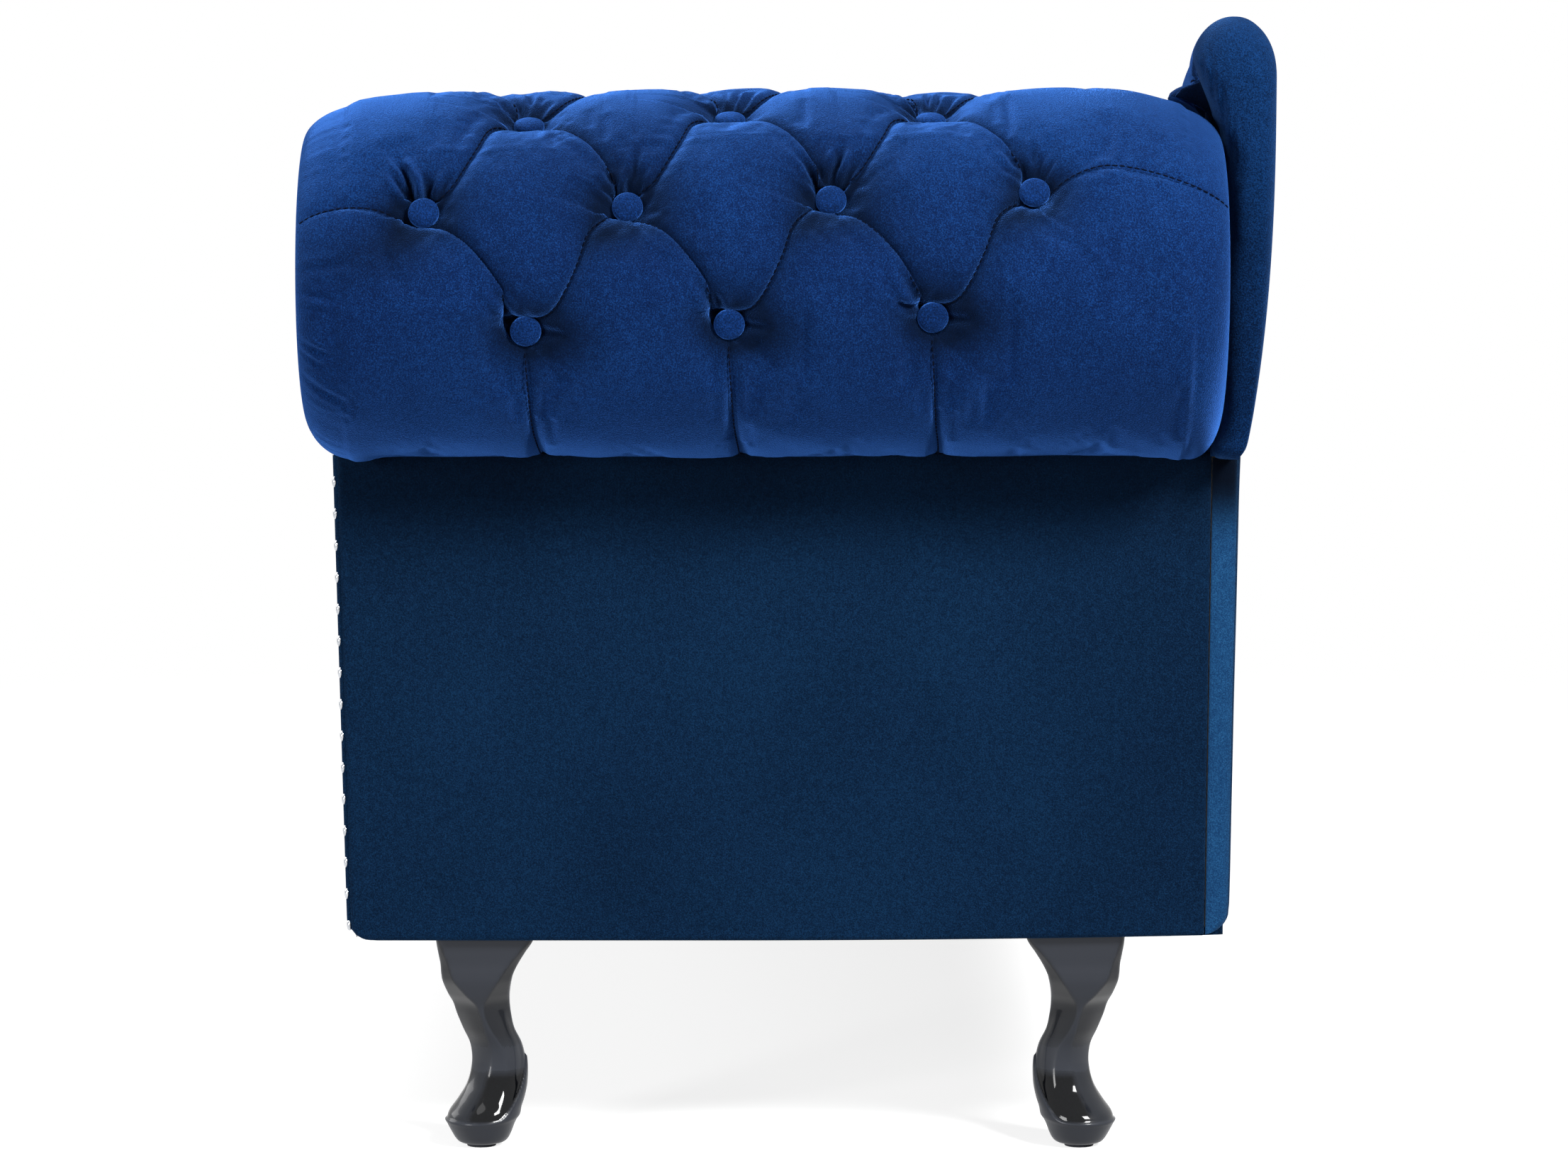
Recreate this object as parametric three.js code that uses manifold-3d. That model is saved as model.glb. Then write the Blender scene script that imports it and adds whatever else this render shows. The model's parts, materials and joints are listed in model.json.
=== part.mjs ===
// Fainting couch: a deep-buttoned chaise longue with one scroll arm, a swept back and four cabriole legs.
// Sizes are millimetres and +Z is up. X runs from the foot end to the arm, and Y from the front to the back.
// The origin is on the floor, under the middle of the couch.
import * as THREE from "three";
import { mergeVertices } from "three/addons/utils/BufferGeometryUtils.js";
import Module from "manifold-3d";

const wasm = await Module();
wasm.setup();

// Overall sizes
const couchLength = 1700;
const couchHeight = 850;
const armHeight = 798;
const seatHeight = 440;
const legHeight = 169;
const baseDepth = 670; // face of the arm facing to face of the rear panel
const rollFrontBulge = 18; // how far the arm roll stands forward of its facing
const backRearBulge = 24; // how far the back's roll stands behind the rear panel
const frontLean = 8; // how far the front covers lean in from the roll's lower edge down to the frame
const rearLean = 6;
const endPanelLean = 3; // the same for the rear edge of the arm's outside panel

// Clearances and cutters
const gap = 0.3;
const softGap = 1.5;
const cutOverrun = 30;

// Seat frame
const railThickness = 22;
const crossRailShare = 0.46; // height of the cross rails, as a share of the outer rails'
const armInnerRailHeight = 60;
const crossRailCount = 2;
const boardThickness = 18;
const panelThickness = 5;
const facingThickness = 6; // at the bottom, where the front leans in
const panelDrop = 4; // how far the covered panels hang below the frame
const cornerBlockSide = 138;
const cornerBlockThickness = 30;
const cornerBlockChamfer = 74;
const dustCoverThickness = 1;

// Legs
const legTopWidth = 74;
const legFrontInset = 108; // facing to leg centre
const legRearInset = 117; // rear panel to leg centre
const legEndInset = 43; // end panels to leg centre
const glideThickness = 4;
const glideRadius = 11;
const legPlateSide = 62;
const legPlateThickness = 3;
const boltRadius = 4;
const boltInLeg = 40;
const boltInBlock = 24;

// Scroll arm
const rollRadius = 138;
const padThickness = 36;
const panelSetback = 7; // roll centre to outside panel face
const padWrapAngle = -96; // degrees from the outermost side, where the arm pad starts below the roll
const curvedBoardThickness = 3;
const slatWidth = 60;
const slatThickness = 20;
const tackRailHeight = 45;
const armRearMargin = 0.7; // arm pad's rear end to the back board
const armFrontDraw = 13; // how far the pad's front end draws back below the roll, on the seat side
const rollRearInset = 16; // rear panel to the outer roll's rear end, beside the back board
const endSeamInset = 19; // rear panel to the rear edge of the arm's outside panel

// Back
const backBoardThickness = 17;
const rearPanelThickness = 2.5;
const crestLow = 556; // height of the crest over the foot half
const sweepHeadX = 707;
const sweepFootX = -470;
const backFootInset = 12; // foot end of the couch to the foot end of the back
const footRoundLength = 170;
const crestFootHeight = 384;
const backHeadReach = 48; // how far the back's roll passes the outside panel
const backHeadRound = 46;
const backFoldRise = 4; // lower edge of the back's roll on the rear side, over the arm roll's lower edge
const backFoldDrop = 96; // least height of the roll above its lower edge
const backTuck = 1.5; // how far the roll stands off the rear panel at its lower edge
const crestPad = 26; // padding over the top of the board
const crestFrontPad = 15;
const seatLevelPad = 67;
const domeRise = 38;
const hessianThickness = 1.2;
const backWindowCount = 6;
const backWindowMargin = 75;
const backWindowSpacing = 60;

// Seat
const springWireRadius = 2;
const springCount = 5;
const springHalfWaves = 12;
const springWidth = 52;
const springEndInset = 150;
const seatPadThickness = 67;
const seatFoamThickness = 64;
const seatFrontOverhang = 7;
const seatEdgeRound = 26;
const seatUnderDraw = 9; // how far the lower edge of the seat pad pulls in
const footOverhang = 10; // seat pad past the foot border

// Buttons and tufting
const tuftPitch = 146;
const armRowPitch = 102;
const armFirstRow = 182; // along the roll's surface, from its lower edge to the first row
const armRowClimbShare = 0.04; // rise of the rows towards the back
const armTuftOffset = -24; // middle of the pad to the middle of the rows, along Y
const armRowCount = 6;
const armShownButtons = 7; // the buttons of the two lowest rows are pieces of their own
const seatTuftPitch = 190;
const seatRowPitch = 130;
const seatRowCount = 4;
const seatLongRowButtons = 7;
const backRowPitch = 96;
const backRowCount = 3;
const backFirstRow = 104;
const backLastTuftX = 478;
const backRowButtons = 8;
const backButtonSeatGap = 30; // least height of a back button over the seat
const buttonRadius = 11;
const buttonHeight = 9;
const buttonSink = 3; // depth of a fused button in its pad
const dimpleDepth = 14;
const dimpleRadius = 30;
const seamDepth = 8;
const seamWidth = 13;

// Nails
const nailPitch = 24;
const nailRadius = 5;
const nailRise = 3;
const nailInset = 9; // facing edge to nail centre
const nailSeat = 1; // how deep a nail head sits in the facing

// Planes and levels that several pieces share
const xArmOuter = couchLength / 2;
const xFootEnd = -couchLength / 2;
const rollX = xArmOuter - rollRadius;
const rollZ = armHeight - rollRadius;
const coreRadius = rollRadius - padThickness;
const xPanel = rollX - panelSetback;
const xPanelInner = xPanel - panelThickness;
const xFootPanel = xFootEnd + footOverhang;
const xFootFrame = xFootPanel + panelThickness + gap;
const xHeadFrame = xPanelInner - gap;
const couchDepth = baseDepth + rollFrontBulge + backRearBulge;
const yFront = -couchDepth / 2;
const yFacing = yFront + rollFrontBulge;
const yRearPanel = yFacing + baseDepth;
const yRear = couchDepth / 2;
const yFrontFrame = yFacing + frontLean + facingThickness + gap;
const yBackBoardRear = yRearPanel - rearLean - rearPanelThickness - gap;
const yBackBoard = yBackBoardRear - backBoardThickness;
const yArmRear = yRearPanel - rollRearInset;
const yEndSeam = yRearPanel - endSeamInset;
const armTuftCentreY = (yFront + yArmRear) / 2 + armTuftOffset;
const yRearFrame = yBackBoard - gap;
const zFrame = legHeight + gap + legPlateThickness + gap;
const zPanel = legHeight - panelDrop;
const zLeanTop = rollZ - rollRadius;
const zBackFold = zLeanTop + backFoldRise;
const zSeatPad = seatHeight - seatPadThickness;
const zFoam = zSeatPad - gap - seatFoamThickness;
const zSeatHessian = zFoam - gap - hessianThickness;
const zSpring = zSeatHessian - gap - springWireRadius;
const zRailTop = zSpring - springWireRadius - gap;
const zSoftBottom = zSeatPad + gap;
const xArmBoard = rollX - coreRadius + gap + curvedBoardThickness + gap;
const xArmFace = rollX - rollRadius;
const xBackHead = xPanel + backHeadReach;
const xBackFoot = xFootEnd + backFootInset;

const materials = {
  velvet: { color: 0x17396e, roughness: 0.85, metalness: 0 },
  lacquer: { color: 0x15161a, roughness: 0.2, metalness: 0 },
  timber: { color: 0xb88a58, roughness: 0.7, metalness: 0 },
  plywood: { color: 0xc8a878, roughness: 0.75, metalness: 0 },
  steel: { color: 0x8b8f94, roughness: 0.35, metalness: 1 },
  hessian: { color: 0x9b8560, roughness: 0.95, metalness: 0 },
  foam: { color: 0xe6dfc4, roughness: 0.9, metalness: 0 },
  cambric: { color: 0x1b1b1d, roughness: 0.95, metalness: 0 },
  felt: { color: 0x3a3a3c, roughness: 0.95, metalness: 0 },
};

const couch = new THREE.Group();

function add(name, material, geometry) {
  const mesh = new THREE.Mesh(geometry, new THREE.MeshStandardMaterial(materials[material]));
  mesh.name = name;
  couch.add(mesh);
  return mesh;
}

// Geometry and solids

function box(x0, x1, y0, y1, z0, z1) {
  const geometry = new THREE.BoxGeometry(x1 - x0, y1 - y0, z1 - z0);
  return geometry.translate((x0 + x1) / 2, (y0 + y1) / 2, (z0 + z1) / 2);
}

function solidOf(geometry) {
  const bare = new THREE.BufferGeometry().setAttribute("position", geometry.getAttribute("position"));
  if (geometry.index) bare.setIndex(geometry.index);
  const merged = mergeVertices(bare);
  return new wasm.Manifold(
    new wasm.Mesh({
      numProp: 3,
      vertProperties: new Float32Array(merged.attributes.position.array),
      triVerts: new Uint32Array(merged.index.array),
    }),
  );
}

function geometryOf(solid) {
  const mesh = solid.getMesh();
  const geometry = new THREE.BufferGeometry();
  geometry.setAttribute("position", new THREE.BufferAttribute(mesh.vertProperties, mesh.numProp));
  geometry.setIndex(new THREE.BufferAttribute(mesh.triVerts, 1));
  return geometry;
}

// Leans the outer face of an upright cover toward the couch's middle, by the full amount at its foot.
function leaned(geometry, yFixed, amount) {
  const points = geometry.getAttribute("position");
  const outward = Math.sign(yFixed);
  for (let i = 0; i < points.count; i += 1) {
    const drop = (zLeanTop - points.getZ(i)) / (zLeanTop - zPanel);
    const outside = (points.getY(i) - yFixed) * outward > gap / 2;
    if (outside) points.setY(i, points.getY(i) - outward * amount * drop);
  }
  return geometry;
}

function largestBody(solid) {
  return solid.decompose().reduce((a, b) => (a.volume() > b.volume() ? a : b));
}

// A closed outline through the points, without those that lie on a straight line between their neighbours.
function outlineOf(points) {
  const corners = points.filter((p, i) => {
    const a = points[(i + points.length - 1) % points.length];
    const b = points[(i + 1) % points.length];
    return Math.abs((p.x - a.x) * (b.y - p.y) - (p.y - a.y) * (b.x - p.x)) > gap ** 2;
  });
  return new THREE.Shape(corners);
}

// An outline in X and Z, extruded from y0 to y1.
function alongY(shape, y0, y1, curveSegments = 12) {
  const geometry = new THREE.ExtrudeGeometry(shape, { depth: y1 - y0, bevelEnabled: false, curveSegments });
  const turn = new THREE.Matrix4().makeBasis(
    new THREE.Vector3(1, 0, 0),
    new THREE.Vector3(0, 0, 1),
    new THREE.Vector3(0, -1, 0),
  );
  return geometry.applyMatrix4(turn).translate(0, y1, 0);
}

function rod(radius, x, y, z0, z1, sides = 12) {
  const geometry = new THREE.CylinderGeometry(radius, radius, z1 - z0, sides);
  return geometry.rotateX(Math.PI / 2).translate(x, y, (z0 + z1) / 2);
}

// A closed body through rings that all have the same number of points. Each quad is split along its lower valley.
function loft(rings, depths) {
  const count = rings[0].length;
  const points = rings.flat();
  const index = [];
  for (let i = 0; i + 1 < rings.length; i += 1) {
    for (let j = 0; j < count; j += 1) {
      const k = (j + 1) % count;
      const [a, b, c, d] = [i * count + j, i * count + k, (i + 1) * count + k, (i + 1) * count + j];
      const valley = depths ? depths[i][j] + depths[i + 1][k] >= depths[i][k] + depths[i + 1][j] : true;
      if (valley) index.push(a, b, c, a, c, d);
      else index.push(a, b, d, b, c, d);
    }
  }
  [0, rings.length - 1].forEach((ring) => {
    const middle = new THREE.Vector3();
    rings[ring].forEach((p) => middle.addScaledVector(p, 1 / count));
    points.push(middle);
    for (let j = 0; j < count; j += 1) {
      const k = (j + 1) % count;
      const edge = ring === 0 ? [k, j] : [j, k];
      index.push(points.length - 1, ring * count + edge[0], ring * count + edge[1]);
    }
  });
  const volume = index.reduce((sum, at, n) => {
    if (n % 3) return sum;
    const [p, q, r] = [points[at], points[index[n + 1]], points[index[n + 2]]];
    return sum + p.dot(q.clone().cross(r));
  }, 0);
  if (volume < 0) index.reverse();
  const geometry = new THREE.BufferGeometry().setFromPoints(points);
  return geometry.setIndex(index);
}

// Tufting: buttons and seams are laid out on the unrolled cover, in millimetres

function distanceToSeam(u, v, [[u0, v0], [u1, v1]]) {
  const [du, dv] = [u1 - u0, v1 - v0];
  const along = ((u - u0) * du + (v - v0) * dv) / (du * du + dv * dv);
  const t = THREE.MathUtils.clamp(along, 0, 1);
  return Math.hypot(u - u0 - t * du, v - v0 - t * dv);
}

function tuftDepth(layout, u, v) {
  const toButton = Math.min(...layout.buttons.map(([bu, bv]) => Math.hypot(u - bu, v - bv)));
  const toSeam = Math.min(...layout.seams.map((seam) => distanceToSeam(u, v, seam)));
  return dimpleDepth * Math.exp(-((toButton / dimpleRadius) ** 2)) + seamDepth * Math.exp(-toSeam / seamWidth);
}

// Rows of buttons, each half a pitch out of step with its neighbours, joined by diagonal seams.
// Seams also run from the outer rows and from the ends of the long rows to the edges of the cover.
function diamonds(rows, pitch, edge) {
  const buttons = rows.flatMap((row) => row.us.map((u) => [u, row.v]));
  const seams = [];
  rows.forEach((row, i) => {
    const next = rows[i + 1];
    row.us.forEach((u) => {
      if (next) {
        next.us.filter((w) => Math.abs(w - u) < pitch).forEach((w) => seams.push([[u, row.v], [w, next.v]]));
      }
      if (i === 0) seams.push([[u, row.v], [u, edge.v0]]);
      if (i === rows.length - 1) seams.push([[u, row.v], [u, edge.v1]]);
    });
    if (row.long) {
      seams.push([[row.us[0], row.v], [edge.u0, row.v]]);
      seams.push([[row.us[row.us.length - 1], row.v], [edge.u1, row.v]]);
    }
  });
  return { buttons, seams };
}

function centredRow(centre, pitch, count) {
  return Array.from({ length: count }, (_, i) => centre + (i - (count - 1) / 2) * pitch);
}

// Evenly spaced values from a to b, both included, about one step apart.
function spread(a, b, step) {
  const count = Math.max(1, Math.round(Math.abs(b - a) / step));
  return Array.from({ length: count + 1 }, (_, i) => a + ((b - a) * i) / count);
}

// A covered button: a short drum with a domed top, its axis along the given normal.
const buttonRim = 0.55; // share of the height at which the dome starts
const shownSides = 9; // sides of a button that is a piece of its own
const buttonTurn = 0.35; // radians: the button's first corner, kept off the lines of the cover's mesh
function buttonGeometry(place, normal, sides = 5, grow = 0) {
  const [radius, height] = [buttonRadius + grow, buttonHeight + grow];
  const profile = [
    new THREE.Vector2(0, -grow),
    new THREE.Vector2(radius, -grow),
    new THREE.Vector2(radius, height * buttonRim),
    new THREE.Vector2(0, height),
  ];
  const geometry = new THREE.LatheGeometry(profile, sides, buttonTurn);
  const turn = new THREE.Quaternion().setFromUnitVectors(new THREE.Vector3(0, 1, 0), normal);
  return geometry.applyQuaternion(turn).translate(place.x, place.y, place.z);
}

function withButtons(pad, places) {
  return places.reduce((solid, { place, normal }) => {
    const seat = place.clone().addScaledVector(normal, -buttonSink);
    return solid.add(solidOf(buttonGeometry(seat, normal)));
  }, pad);
}

// Legs

// Each row is a level of the leg: its height and width as shares of the leg's, how far its middle stands
// outwards as a share of the width, how much of the half width its chamfers take, and how round it is.
const legSectionShares = [
  [0.0, 0.32, 0.05, 0.6, 1.0],
  [0.053, 0.53, 0.045, 0.6, 1.0],
  [0.115, 0.69, 0.04, 0.6, 1.0],
  [0.14, 0.745, 0.034, 0.6, 1.0],
  [0.2, 0.69, -0.02, 0.6, 0.9],
  [0.27, 0.61, -0.075, 0.66, 0.7],
  [0.355, 0.55, -0.1, 0.72, 0.5],
  [0.435, 0.515, -0.084, 0.8, 0.4],
  [0.515, 0.495, -0.04, 0.9, 0.3],
  [0.58, 0.505, 0.0, 0.95, 0.18],
  [0.64, 0.535, 0.035, 0.9, 0.08],
  [0.7, 0.59, 0.06, 0.66, 0.03],
  [0.765, 0.665, 0.076, 0.42, 0.0],
  [0.845, 0.74, 0.081, 0.28, 0.0],
  [0.89, 0.83, 0.06, 0.2, 0.0],
  [0.94, 0.93, 0.026, 0.12, 0.0],
  [1.0, 1.0, 0.0, 0.06, 0.0],
];

// A square with chamfered corners, drawn towards a circle by its roundness.
function legSection(half, chamfer, roundness) {
  const corners = [];
  [[1, 1], [-1, 1], [-1, -1], [1, -1]].forEach(([sx, sy]) => {
    const pair = [[half * sx, half * (1 - chamfer) * sy], [half * (1 - chamfer) * sx, half * sy]];
    corners.push(...(sx === sy ? pair : pair.reverse()));
  });
  return corners.flatMap(([x, y], i) => {
    const [nextX, nextY] = corners[(i + 1) % corners.length];
    return [[x, y], [(x + nextX) / 2, (y + nextY) / 2]];
  }).map(([x, y]) => {
    const stretch = 1 + roundness * (half / Math.hypot(x, y) - 1);
    return [x * stretch, y * stretch];
  });
}

function legGeometry(x, y, outX, outY) {
  const bottom = glideThickness + gap;
  const rings = legSectionShares.map(([zShare, widthShare, shiftShare, chamferShare, roundShare]) => {
    const shift = legTopWidth * shiftShare;
    const z = bottom + (legHeight - bottom) * zShare;
    return legSection((legTopWidth * widthShare) / 2, chamferShare, roundShare)
      .map(([px, py]) => new THREE.Vector3(x + px + shift * outX, y + py + shift * outY, z));
  });
  return loft(rings);
}

function addLegs() {
  const corners = [
    ["front_arm", xPanel - legEndInset, yFacing + legFrontInset, 1, -1],
    ["rear_arm", xPanel - legEndInset, yRearPanel - legRearInset, 1, 1],
    ["front_foot", xFootPanel + legEndInset, yFacing + legFrontInset, -1, -1],
    ["rear_foot", xFootPanel + legEndInset, yRearPanel - legRearInset, -1, 1],
  ];
  const zPlate = legHeight + gap;
  const zBlock = zPlate + legPlateThickness + gap;
  const footShift = legTopWidth * legSectionShares[0][2];
  corners.forEach(([corner, x, y, outX, outY]) => {
    const hole = solidOf(rod(boltRadius + gap, x, y, legHeight - boltInLeg - gap, zBlock + boltInBlock + gap));
    const leg = solidOf(legGeometry(x, y, outX, outY)).subtract(hole);
    add(`leg_${corner}`, "lacquer", geometryOf(leg));
    const glide = rod(glideRadius, x + footShift * outX, y + footShift * outY, 0, glideThickness, 16);
    add(`glide_${corner}`, "felt", glide);
    const half = legPlateSide / 2;
    const plate = solidOf(box(x - half, x + half, y - half, y + half, zPlate, zPlate + legPlateThickness));
    add(`leg_plate_${corner}`, "steel", geometryOf(plate.subtract(hole)));
    add(`leg_bolt_${corner}`, "steel", rod(boltRadius, x, y, legHeight - boltInLeg, zBlock + boltInBlock));
    addCornerBlock(corner, x, y, outX, outY, zBlock, hole);
  });
}

// A plank in the corner of the frame, with its inner corner cut off, that the leg bolts into.
function addCornerBlock(corner, x, y, outX, outY, z, hole) {
  const xEdge = outX > 0 ? xHeadFrame - railThickness - gap : xFootFrame + railThickness + gap;
  const yEdge = outY > 0 ? yRearFrame - railThickness - gap : yFrontFrame + railThickness + gap;
  const side = cornerBlockSide;
  const cut = cornerBlockChamfer;
  const outline = [
    [0, 0],
    [side, 0],
    [side, side - cut],
    [side - cut, side],
    [0, side],
  ].map(([a, b]) => new THREE.Vector2(xEdge - a * outX, yEdge - b * outY));
  const geometry = new THREE.ExtrudeGeometry(new THREE.Shape(outline), {
    depth: cornerBlockThickness,
    bevelEnabled: false,
  }).translate(0, 0, z);
  add(`corner_block_${corner}`, "timber", geometryOf(solidOf(geometry).subtract(hole)));
}

// Seat frame, springs and covered borders

function addFrame() {
  const xArmSide = xArmBoard - gap;
  const ySide0 = yFrontFrame + railThickness + gap;
  const ySide1 = yRearFrame - railThickness - gap;
  add("foot_rail", "timber",
    box(xFootFrame, xFootFrame + railThickness, yFrontFrame, yRearFrame, zFrame, zRailTop));
  const xLong = xFootFrame + railThickness + gap;
  add("front_rail", "timber", box(xLong, xArmSide, yFrontFrame, yFrontFrame + railThickness, zFrame, zRailTop));
  add("rear_rail", "timber", box(xLong, xArmSide, yRearFrame - railThickness, yRearFrame, zFrame, zRailTop));
  const yBoards0 = yFrontFrame + boardThickness + gap;
  const yBoards1 = yRearFrame - boardThickness - gap;
  add("head_rail", "timber",
    box(xHeadFrame - railThickness, xHeadFrame, yBoards0, yBoards1, zFrame, zRailTop));
  add("arm_inner_rail", "timber",
    box(xArmBoard, xArmBoard + railThickness, yBoards0, yBoards1, zSeatPad - armInnerRailHeight, zSeatPad));
  const span = (xArmSide - xLong) / (crossRailCount + 1);
  for (let i = 1; i <= crossRailCount; i += 1) {
    const x = xLong + span * i - railThickness / 2;
    const top = zFrame + (zRailTop - zFrame) * crossRailShare;
    add(`cross_rail_${i}`, "timber", box(x, x + railThickness, ySide0, ySide1, zFrame, top));
  }
}

// A sinuous spring: one wire that swings from side to side between the front and rear rails.
function springGeometry(x) {
  const y0 = yFrontFrame + railThickness / 2;
  const y1 = yRearFrame - railThickness / 2;
  class SpringLine extends THREE.Curve {
    getPoint(t, target = new THREE.Vector3()) {
      const swing = Math.sin(t * springHalfWaves * Math.PI);
      return target.set(x + (springWidth / 2) * swing, y0 + (y1 - y0) * t, zSpring);
    }
  }
  const sides = 5;
  const stepsPerWave = 3;
  const section = new THREE.Shape(
    Array.from({ length: sides }, (_, i) => {
      const angle = (i / sides) * 2 * Math.PI;
      return new THREE.Vector2(springWireRadius * Math.cos(angle), springWireRadius * Math.sin(angle));
    }),
  );
  return new THREE.ExtrudeGeometry(section, {
    steps: springHalfWaves * stepsPerWave,
    extrudePath: new SpringLine(),
    bevelEnabled: false,
  });
}

function addSeatSupport() {
  const x0 = xFootFrame + springEndInset;
  const x1 = xArmBoard - springEndInset;
  spread(x0, x1, (x1 - x0) / (springCount - 1)).forEach((x, i) => {
    add(`seat_spring_${i + 1}`, "steel", springGeometry(x));
  });
  const xEnd = xArmBoard - gap - curvedBoardThickness - gap;
  add("seat_hessian", "hessian",
    box(xFootFrame, xEnd, yFrontFrame, yRearFrame, zSeatHessian, zSeatHessian + hessianThickness));
  add("seat_foam", "foam",
    box(xFootFrame, xEnd, yFrontFrame, yRearFrame - hessianThickness - gap, zFoam, zSeatPad - gap));
}

function addBorders() {
  const xFacingEdge = rollX - coreRadius + gap;
  const border = box(xFootPanel, xFacingEdge - gap, yFacing, yFrontFrame - gap, zPanel, zSeatPad - gap);
  add("front_border", "velvet", leaned(border, yFrontFrame - gap, frontLean));
  add("foot_border", "velvet",
    box(xFootPanel, xFootPanel + panelThickness, yFrontFrame, yRearFrame, zPanel, zSeatPad - gap));
  const panel = box(xPanelInner, xPanel, yFrontFrame, yEndSeam - gap, zPanel, zBackFold - softGap);
  add("arm_outside_panel", "velvet", leaned(panel, yRearFrame - gap, endPanelLean));
  const dust0 = legHeight + gap;
  const sheet = box(xFootFrame, xHeadFrame, yFrontFrame, yRearFrame, dust0, dust0 + dustCoverThickness);
  const reach = legPlateSide / 2 + gap;
  let cover = solidOf(sheet);
  [xPanel - legEndInset, xFootPanel + legEndInset].forEach((x) => {
    [yFacing + legFrontInset, yRearPanel - legRearInset].forEach((y) => {
      const hole = box(x - reach, x + reach, y - reach, y + reach, dust0 - cutOverrun, dust0 + cutOverrun);
      cover = cover.subtract(solidOf(hole));
    });
  });
  add("dust_cover", "cambric", geometryOf(cover));
}

// Scroll arm

const arcSegments = 28;

// The radius whose straight-sided arcs stay outside a true arc of the given radius.
function around(radius) {
  return radius / Math.cos((0.75 * Math.PI) / arcSegments);
}

// The scroll's outline: a post from zBottom up, with its outer side at xOuter, and a round head.
function scrollOutline(radius, xOuter, zBottom) {
  const start = Math.atan2(-Math.sqrt(radius ** 2 - (xOuter - rollX) ** 2), xOuter - rollX);
  const shape = new THREE.Shape();
  shape.moveTo(rollX - radius, zBottom);
  shape.lineTo(xOuter, zBottom);
  shape.absarc(rollX, rollZ, radius, start, Math.PI, false);
  shape.closePath();
  return shape;
}

const rollArcLength = rollRadius * THREE.MathUtils.degToRad(270);

// A point and its outward normal on the arm's inner surface, at a distance s along the pad's outer face.
function armStation(s) {
  if (s <= rollArcLength) {
    const angle = s / rollRadius - Math.PI / 2;
    const normal = new THREE.Vector3(Math.cos(angle), 0, Math.sin(angle));
    return { normal, base: new THREE.Vector3(rollX, 0, rollZ).addScaledVector(normal, coreRadius) };
  }
  const z = rollZ - (s - rollArcLength);
  return { normal: new THREE.Vector3(-1, 0, 0), base: new THREE.Vector3(rollX - coreRadius, 0, z) };
}

function armLayout() {
  const rows = Array.from({ length: armRowCount }, (_, i) => {
    const long = i % 2 === 1;
    return { v: armFirstRow + i * armRowPitch, long, us: centredRow(armTuftCentreY, tuftPitch, long ? 4 : 3) };
  });
  const bottom = rollArcLength + rollZ - zSeatPad;
  const level = diamonds(rows, tuftPitch, { u0: yFront, u1: yArmRear, v0: 0, v1: bottom });
  const climb = ([u, v]) => [u, v + (u - armTuftCentreY) * armRowClimbShare];
  return { buttons: level.buttons.map(climb), seams: level.seams.map((ends) => ends.map(climb)) };
}

// How far each end of the roll rounds off along Y, over the top of the roll and under it.
const armFrontRound = { top: 110, under: 45 };
const armRearRound = { top: 80, under: 22 };
const armEndPad = 1; // the padding's thickness at the very end, where it turns in over the core

function roundedShare(toEnd, length) {
  const into = THREE.MathUtils.clamp(1 - toEnd / length, 0, 1);
  return Math.sqrt(1 - into ** 2);
}

function armPadThickness(layout, y, s) {
  const full = padThickness - tuftDepth(layout, y, s);
  const over = (1 + armStation(s).normal.z) / 2;
  const front = roundedShare(y - yFront, THREE.MathUtils.lerp(armFrontRound.under, armFrontRound.top, over));
  const rear = roundedShare(yArmRear - y, THREE.MathUtils.lerp(armRearRound.under, armRearRound.top, over));
  return armEndPad + (full - armEndPad) * front * rear;
}

function armPlace(layout, y, s) {
  const { base, normal } = armStation(s);
  const place = base.clone().addScaledVector(normal, armPadThickness(layout, y, s)).setY(y);
  return { place, normal };
}

// Distance from the end at each extra station, as a share of the rounding's length.
const endRoundShares = [0, 0.06, 0.22, 0.52];

// Below the roll, the pad's front end draws back behind the facing's edge.
function drawnBack(geometry) {
  const points = geometry.getAttribute("position");
  for (let i = 0; i < points.count; i += 1) {
    const share = 1 - THREE.MathUtils.smoothstep(points.getZ(i), zLeanTop, rollZ - padThickness);
    const reach = Math.max(0, 1 - (points.getY(i) - yFront) / armFrontRound.top);
    if (points.getX(i) < xArmBoard) points.setY(i, points.getY(i) + armFrontDraw * share * reach);
  }
  return geometry;
}

function armStations() {
  const us = armLayout().buttons.map(([u]) => u);
  const [u0, u1] = [Math.min(...us), Math.max(...us)];
  const ys = [
    ...endRoundShares.map((share) => yFront + armFrontRound.top * share),
    ...spread(u0, u1, tuftPitch / 6),
    yArmRear - armRearRound.top,
    ...endRoundShares.map((share) => yArmRear - armRearRound.top * share).reverse(),
  ];
  const start = rollRadius * THREE.MathUtils.degToRad(padWrapAngle + 90);
  const lastRow = armFirstRow + (armRowCount - 1) * armRowPitch;
  const end = rollArcLength + rollZ - zSoftBottom;
  const topRow = armFirstRow + armRowPitch * 2;
  const ss = [
    ...spread(start, armFirstRow, armRowPitch / 2),
    ...spread(armFirstRow, topRow, armRowPitch / 3).slice(1),
    ...spread(topRow, lastRow, armRowPitch / 2).slice(1),
    ...spread(lastRow, end, armRowPitch * 2).slice(1),
  ];
  return { ys, ss };
}

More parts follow.
